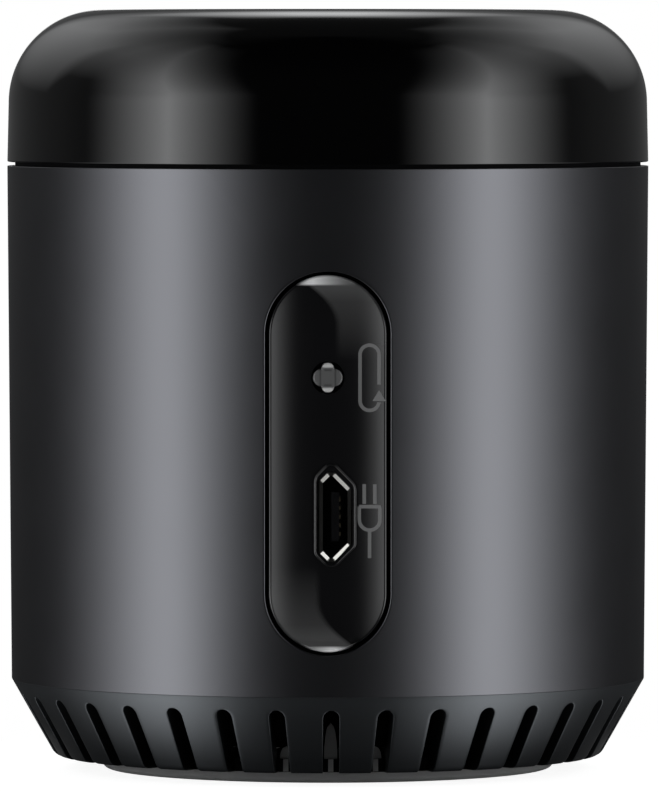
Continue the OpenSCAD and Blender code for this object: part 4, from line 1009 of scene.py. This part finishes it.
carried = {
    "platePlastic": "base_plate",
    "chassisPlastic": "chassis top_tray",
    "darkPlastic": "switch_plunger usb_tongue smoothing_seat link_body lamp_holder",
    "switchPlastic": "switch_body",
    "tinSheet": "switch_cover radio_can",
    # painted shade: the contacts are darkened for the shade inside the socket
    "paintedShadeGold": "usb_contacts",
    "goldPlate": "radio_aerial link_pins",
    "screwSteel": "base_screws tray_screws lamp_board_screws",
    "greenBoard": "main_board lamp_board",
    "blueBoard": "radio_module",
    "bareAluminium": "smoothing_can",
    "coilFerrite": "power_coil",
    "chipResin": "regulator_chip lamp_drivers",
    "solderTin": "regulator_pins driver_pins lamp_wires receiver_wires",
    "tanCeramic": "board_capacitors",
    "blackCeramic": "board_resistors lamp_resistors",
    "lampResin": "ir_lamp_1 ir_lamp_2 ir_lamp_3 ir_lamp_4 ir_lamp_5 ir_lamp_6 ir_lamp_top",
    "eyeResin": "ir_receiver",
    "statusWhite": "status_lamp",
}
for materialName, nodeNames in carried.items():
    for nodeName in nodeNames.split():
        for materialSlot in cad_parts[nodeName].material_slots:
            materialSlot.material = materials[materialName]
print("finished the carried solids with", len(carried), "finishes")


# Floor, studio light and camera

# The studio's ramps are pairs of degrees, where each one starts and its step. Turn is counted from the
# viewer's side to straight behind, and height from level.
studio = {
    "floorRadius": 38, "floorRows": 4, "floorColumns": 96, "floorColour": 0.5, "floorGlow": 0.9,
    "floorRoughness": 0.9,
    "lightColour": (0.98, 0.99, 1.0),
    "sideStrength": 4.1, "sideTurn": 59, "sideDrift": 0.4, "sideDriftFrom": 10, "sideInner": 35,
    "sideOuter": 39, "sideOuterLow": 62, "sideWiden": (-1, -6), "sidePower": 1.8, "sideFade": (3.5, 61.5),
    "sideLow": (-60, 45),
    "archStrength": 0.92, "archTurn": (73, 29), "archRise": (-5.5, 30.5), "archFall": (0, 28),
    "archLow": 24, "archDip": -13, "archDipTurn": (114, 9), "archBack": 12, "archBackTurn": (166, 8),
    "archHigh": 70, "archSink": -25, "archSinkTurn": (144, 25),
    "stripStrength": 2.4, "stripTurn": (168, 10), "stripLow": (25, 12), "stripHigh": (51, -8),
    "room": 0.014, "roomBack": 0.085, "roomTurn": (60, 50), "roomAbove": (30, 30), "roomAboveLess": -0.6,
    "roomBelow": (-0.8, -0.8), "roomBelowLess": -0.75,
    "sheetTurn": (174.5, 1), "sheetLow": (-13, 1), "sheetHigh": (4, -1),
}


def floorMaterial():
    # plain diffuse, lifted to white where the camera looks at it, so that it still takes the shadow
    material = bpy.data.materials.new("paleFloor")
    material.use_nodes = True
    tree = material.node_tree
    shader = tree.nodes["Principled BSDF"]
    tone = studio["floorColour"]
    shader.inputs["Base Color"].default_value = (tone, tone, tone, 1)
    shader.inputs["Roughness"].default_value = studio["floorRoughness"]
    shader.inputs["Specular IOR Level"].default_value = 0
    glow = tree.nodes.new("ShaderNodeEmission")
    glow.inputs["Strength"].default_value = studio["floorGlow"]
    both = tree.nodes.new("ShaderNodeAddShader")
    pick = tree.nodes.new("ShaderNodeMixShader")
    path = tree.nodes.new("ShaderNodeLightPath")
    connect(tree, (shader.outputs[0], both.inputs[0]), (glow.outputs[0], both.inputs[1]),
            (path.outputs["Is Camera Ray"], pick.inputs[0]), (shader.outputs[0], pick.inputs[1]),
            (both.outputs[0], pick.inputs[2]), (pick.outputs[0], tree.nodes["Material Output"].inputs[0]))
    return material


floorProfile = np.linspace((0, 0), (studio["floorRadius"], 0), studio["floorRows"])
floorDisc = makePiece("floorDisc", [revolve(floorProfile, studio["floorColumns"])])
floorDisc.data.materials.append(floorMaterial())


def studioWorld():
    # White for the camera. For everything else the room is dark with two tall soft panels at the sides
    # and a dim arch behind, all worked out from the turn and the height of a direction in degrees.
    world = bpy.data.worlds.new("studio")
    world.use_nodes = True
    tree = world.node_tree
    tree.nodes.clear()
    calc, ramp, product = calculator(tree)
    x, y, z = splitVector(tree, tree.nodes.new("ShaderNodeTexCoord").outputs["Generated"])
    degree = math.degrees(1)
    turn = product(calc("ABSOLUTE", calc("ARCTAN2", x, product(y, -1))), degree)
    height = product(calc("ARCSINE", z), degree)

    def rampOf(name):
        return ramp(turn if name.endswith("Turn") else height, *studio[name])

    # Side panels: brightest at one turn, falling softly to both sides and upwards, and wider below
    # the level of the cap
    lifted = calc("MAXIMUM", calc("SUBTRACT", height, studio["sideDriftFrom"]), 0)
    peak = calc("MULTIPLY_ADD", lifted, studio["sideDrift"], studio["sideTurn"])
    outward = calc("SUBTRACT", turn, peak)
    widening = studio["sideOuterLow"] - studio["sideOuter"]
    wide = calc("MULTIPLY_ADD", rampOf("sideWiden"), widening, studio["sideOuter"])
    outer = calc("DIVIDE", calc("MAXIMUM", outward, 0), wide)
    inner = calc("DIVIDE", calc("MINIMUM", outward, 0), -studio["sideInner"])
    across = calc("MAXIMUM", calc("SUBTRACT", 1, calc("ADD", outer, inner)), 0)
    across = calc("POWER", across, studio["sidePower"])
    fading = calc("SUBTRACT", 1, rampOf("sideFade"))
    side = product(across, fading, rampOf("sideLow"), studio["sideStrength"])

    # Arch: from the sides round the back, lower and nearer to the floor there
    lowLevel = calc("MULTIPLY_ADD", rampOf("archDipTurn"), studio["archDip"], studio["archLow"])
    lowLevel = calc("MULTIPLY_ADD", rampOf("archBackTurn"), studio["archBack"], lowLevel)
    highLevel = calc("MULTIPLY_ADD", rampOf("archSinkTurn"), studio["archSink"], studio["archHigh"])
    rising = ramp(calc("SUBTRACT", height, lowLevel), *studio["archRise"])
    falling = ramp(calc("SUBTRACT", highLevel, height), *studio["archFall"])
    arch = product(rampOf("archTurn"), rising, falling, studio["archStrength"])

    # A small bright strip straight behind, and the faint room
    strip = product(rampOf("stripTurn"), rampOf("stripLow"), rampOf("stripHigh"), studio["stripStrength"])
    room = calc("MULTIPLY_ADD", rampOf("roomTurn"), studio["roomBack"], studio["room"])
    for name in ("roomAbove", "roomBelow"):
        room = product(room, calc("MULTIPLY_ADD", rampOf(name), studio[name + "Less"], 1))
    total = calc("ADD", calc("ADD", side, arch), calc("ADD", strip, room))

    # The white sheet behind the object is seen by the camera, and in reflections where it stands
    path = tree.nodes.new("ShaderNodeLightPath")
    sheet = product(rampOf("sheetTurn"), rampOf("sheetLow"), rampOf("sheetHigh"))
    seen = calc("MAXIMUM", product(path.outputs["Is Glossy Ray"], sheet), path.outputs["Is Camera Ray"])
    seen = calc("MAXIMUM", seen, path.outputs["Is Transmission Ray"])
    white = tree.nodes.new("ShaderNodeBackground")
    white.inputs["Color"].default_value = (1, 1, 1, 1)
    soft = tree.nodes.new("ShaderNodeBackground")
    soft.inputs["Color"].default_value = (*studio["lightColour"], 1)
    pick = tree.nodes.new("ShaderNodeMixShader")
    output = tree.nodes.new("ShaderNodeOutputWorld")
    connect(tree, (total, soft.inputs["Strength"]), (seen, pick.inputs[0]),
            (soft.outputs[0], pick.inputs[1]), (white.outputs[0], pick.inputs[2]),
            (pick.outputs[0], output.inputs[0]))
    return world


scene = bpy.context.scene
scene.world = studioWorld()
scene.view_settings.view_transform = "Standard"

camera = {"x": 0.13, "distance": 742, "height": 55.4, "pitch": 2.04, "focal": 9505, "longSide": 792,
          "sensor": 36, "clipStart": 0.01, "clipEnd": 20}
lens = bpy.data.cameras.new("photoCamera")
lens.sensor_width = camera["sensor"]
lens.lens = camera["focal"] * camera["sensor"] / camera["longSide"]
lens.clip_start = camera["clipStart"]
lens.clip_end = camera["clipEnd"]
viewer = bpy.data.objects.new("photoCamera", lens)
place = camera["x"], -camera["distance"], camera["height"]
viewer.location = [value * millimetre for value in place]
viewer.rotation_euler = (math.radians(90 - camera["pitch"]), 0, 0)
scene.collection.objects.link(viewer)
scene.camera = viewer
print("studio ready")
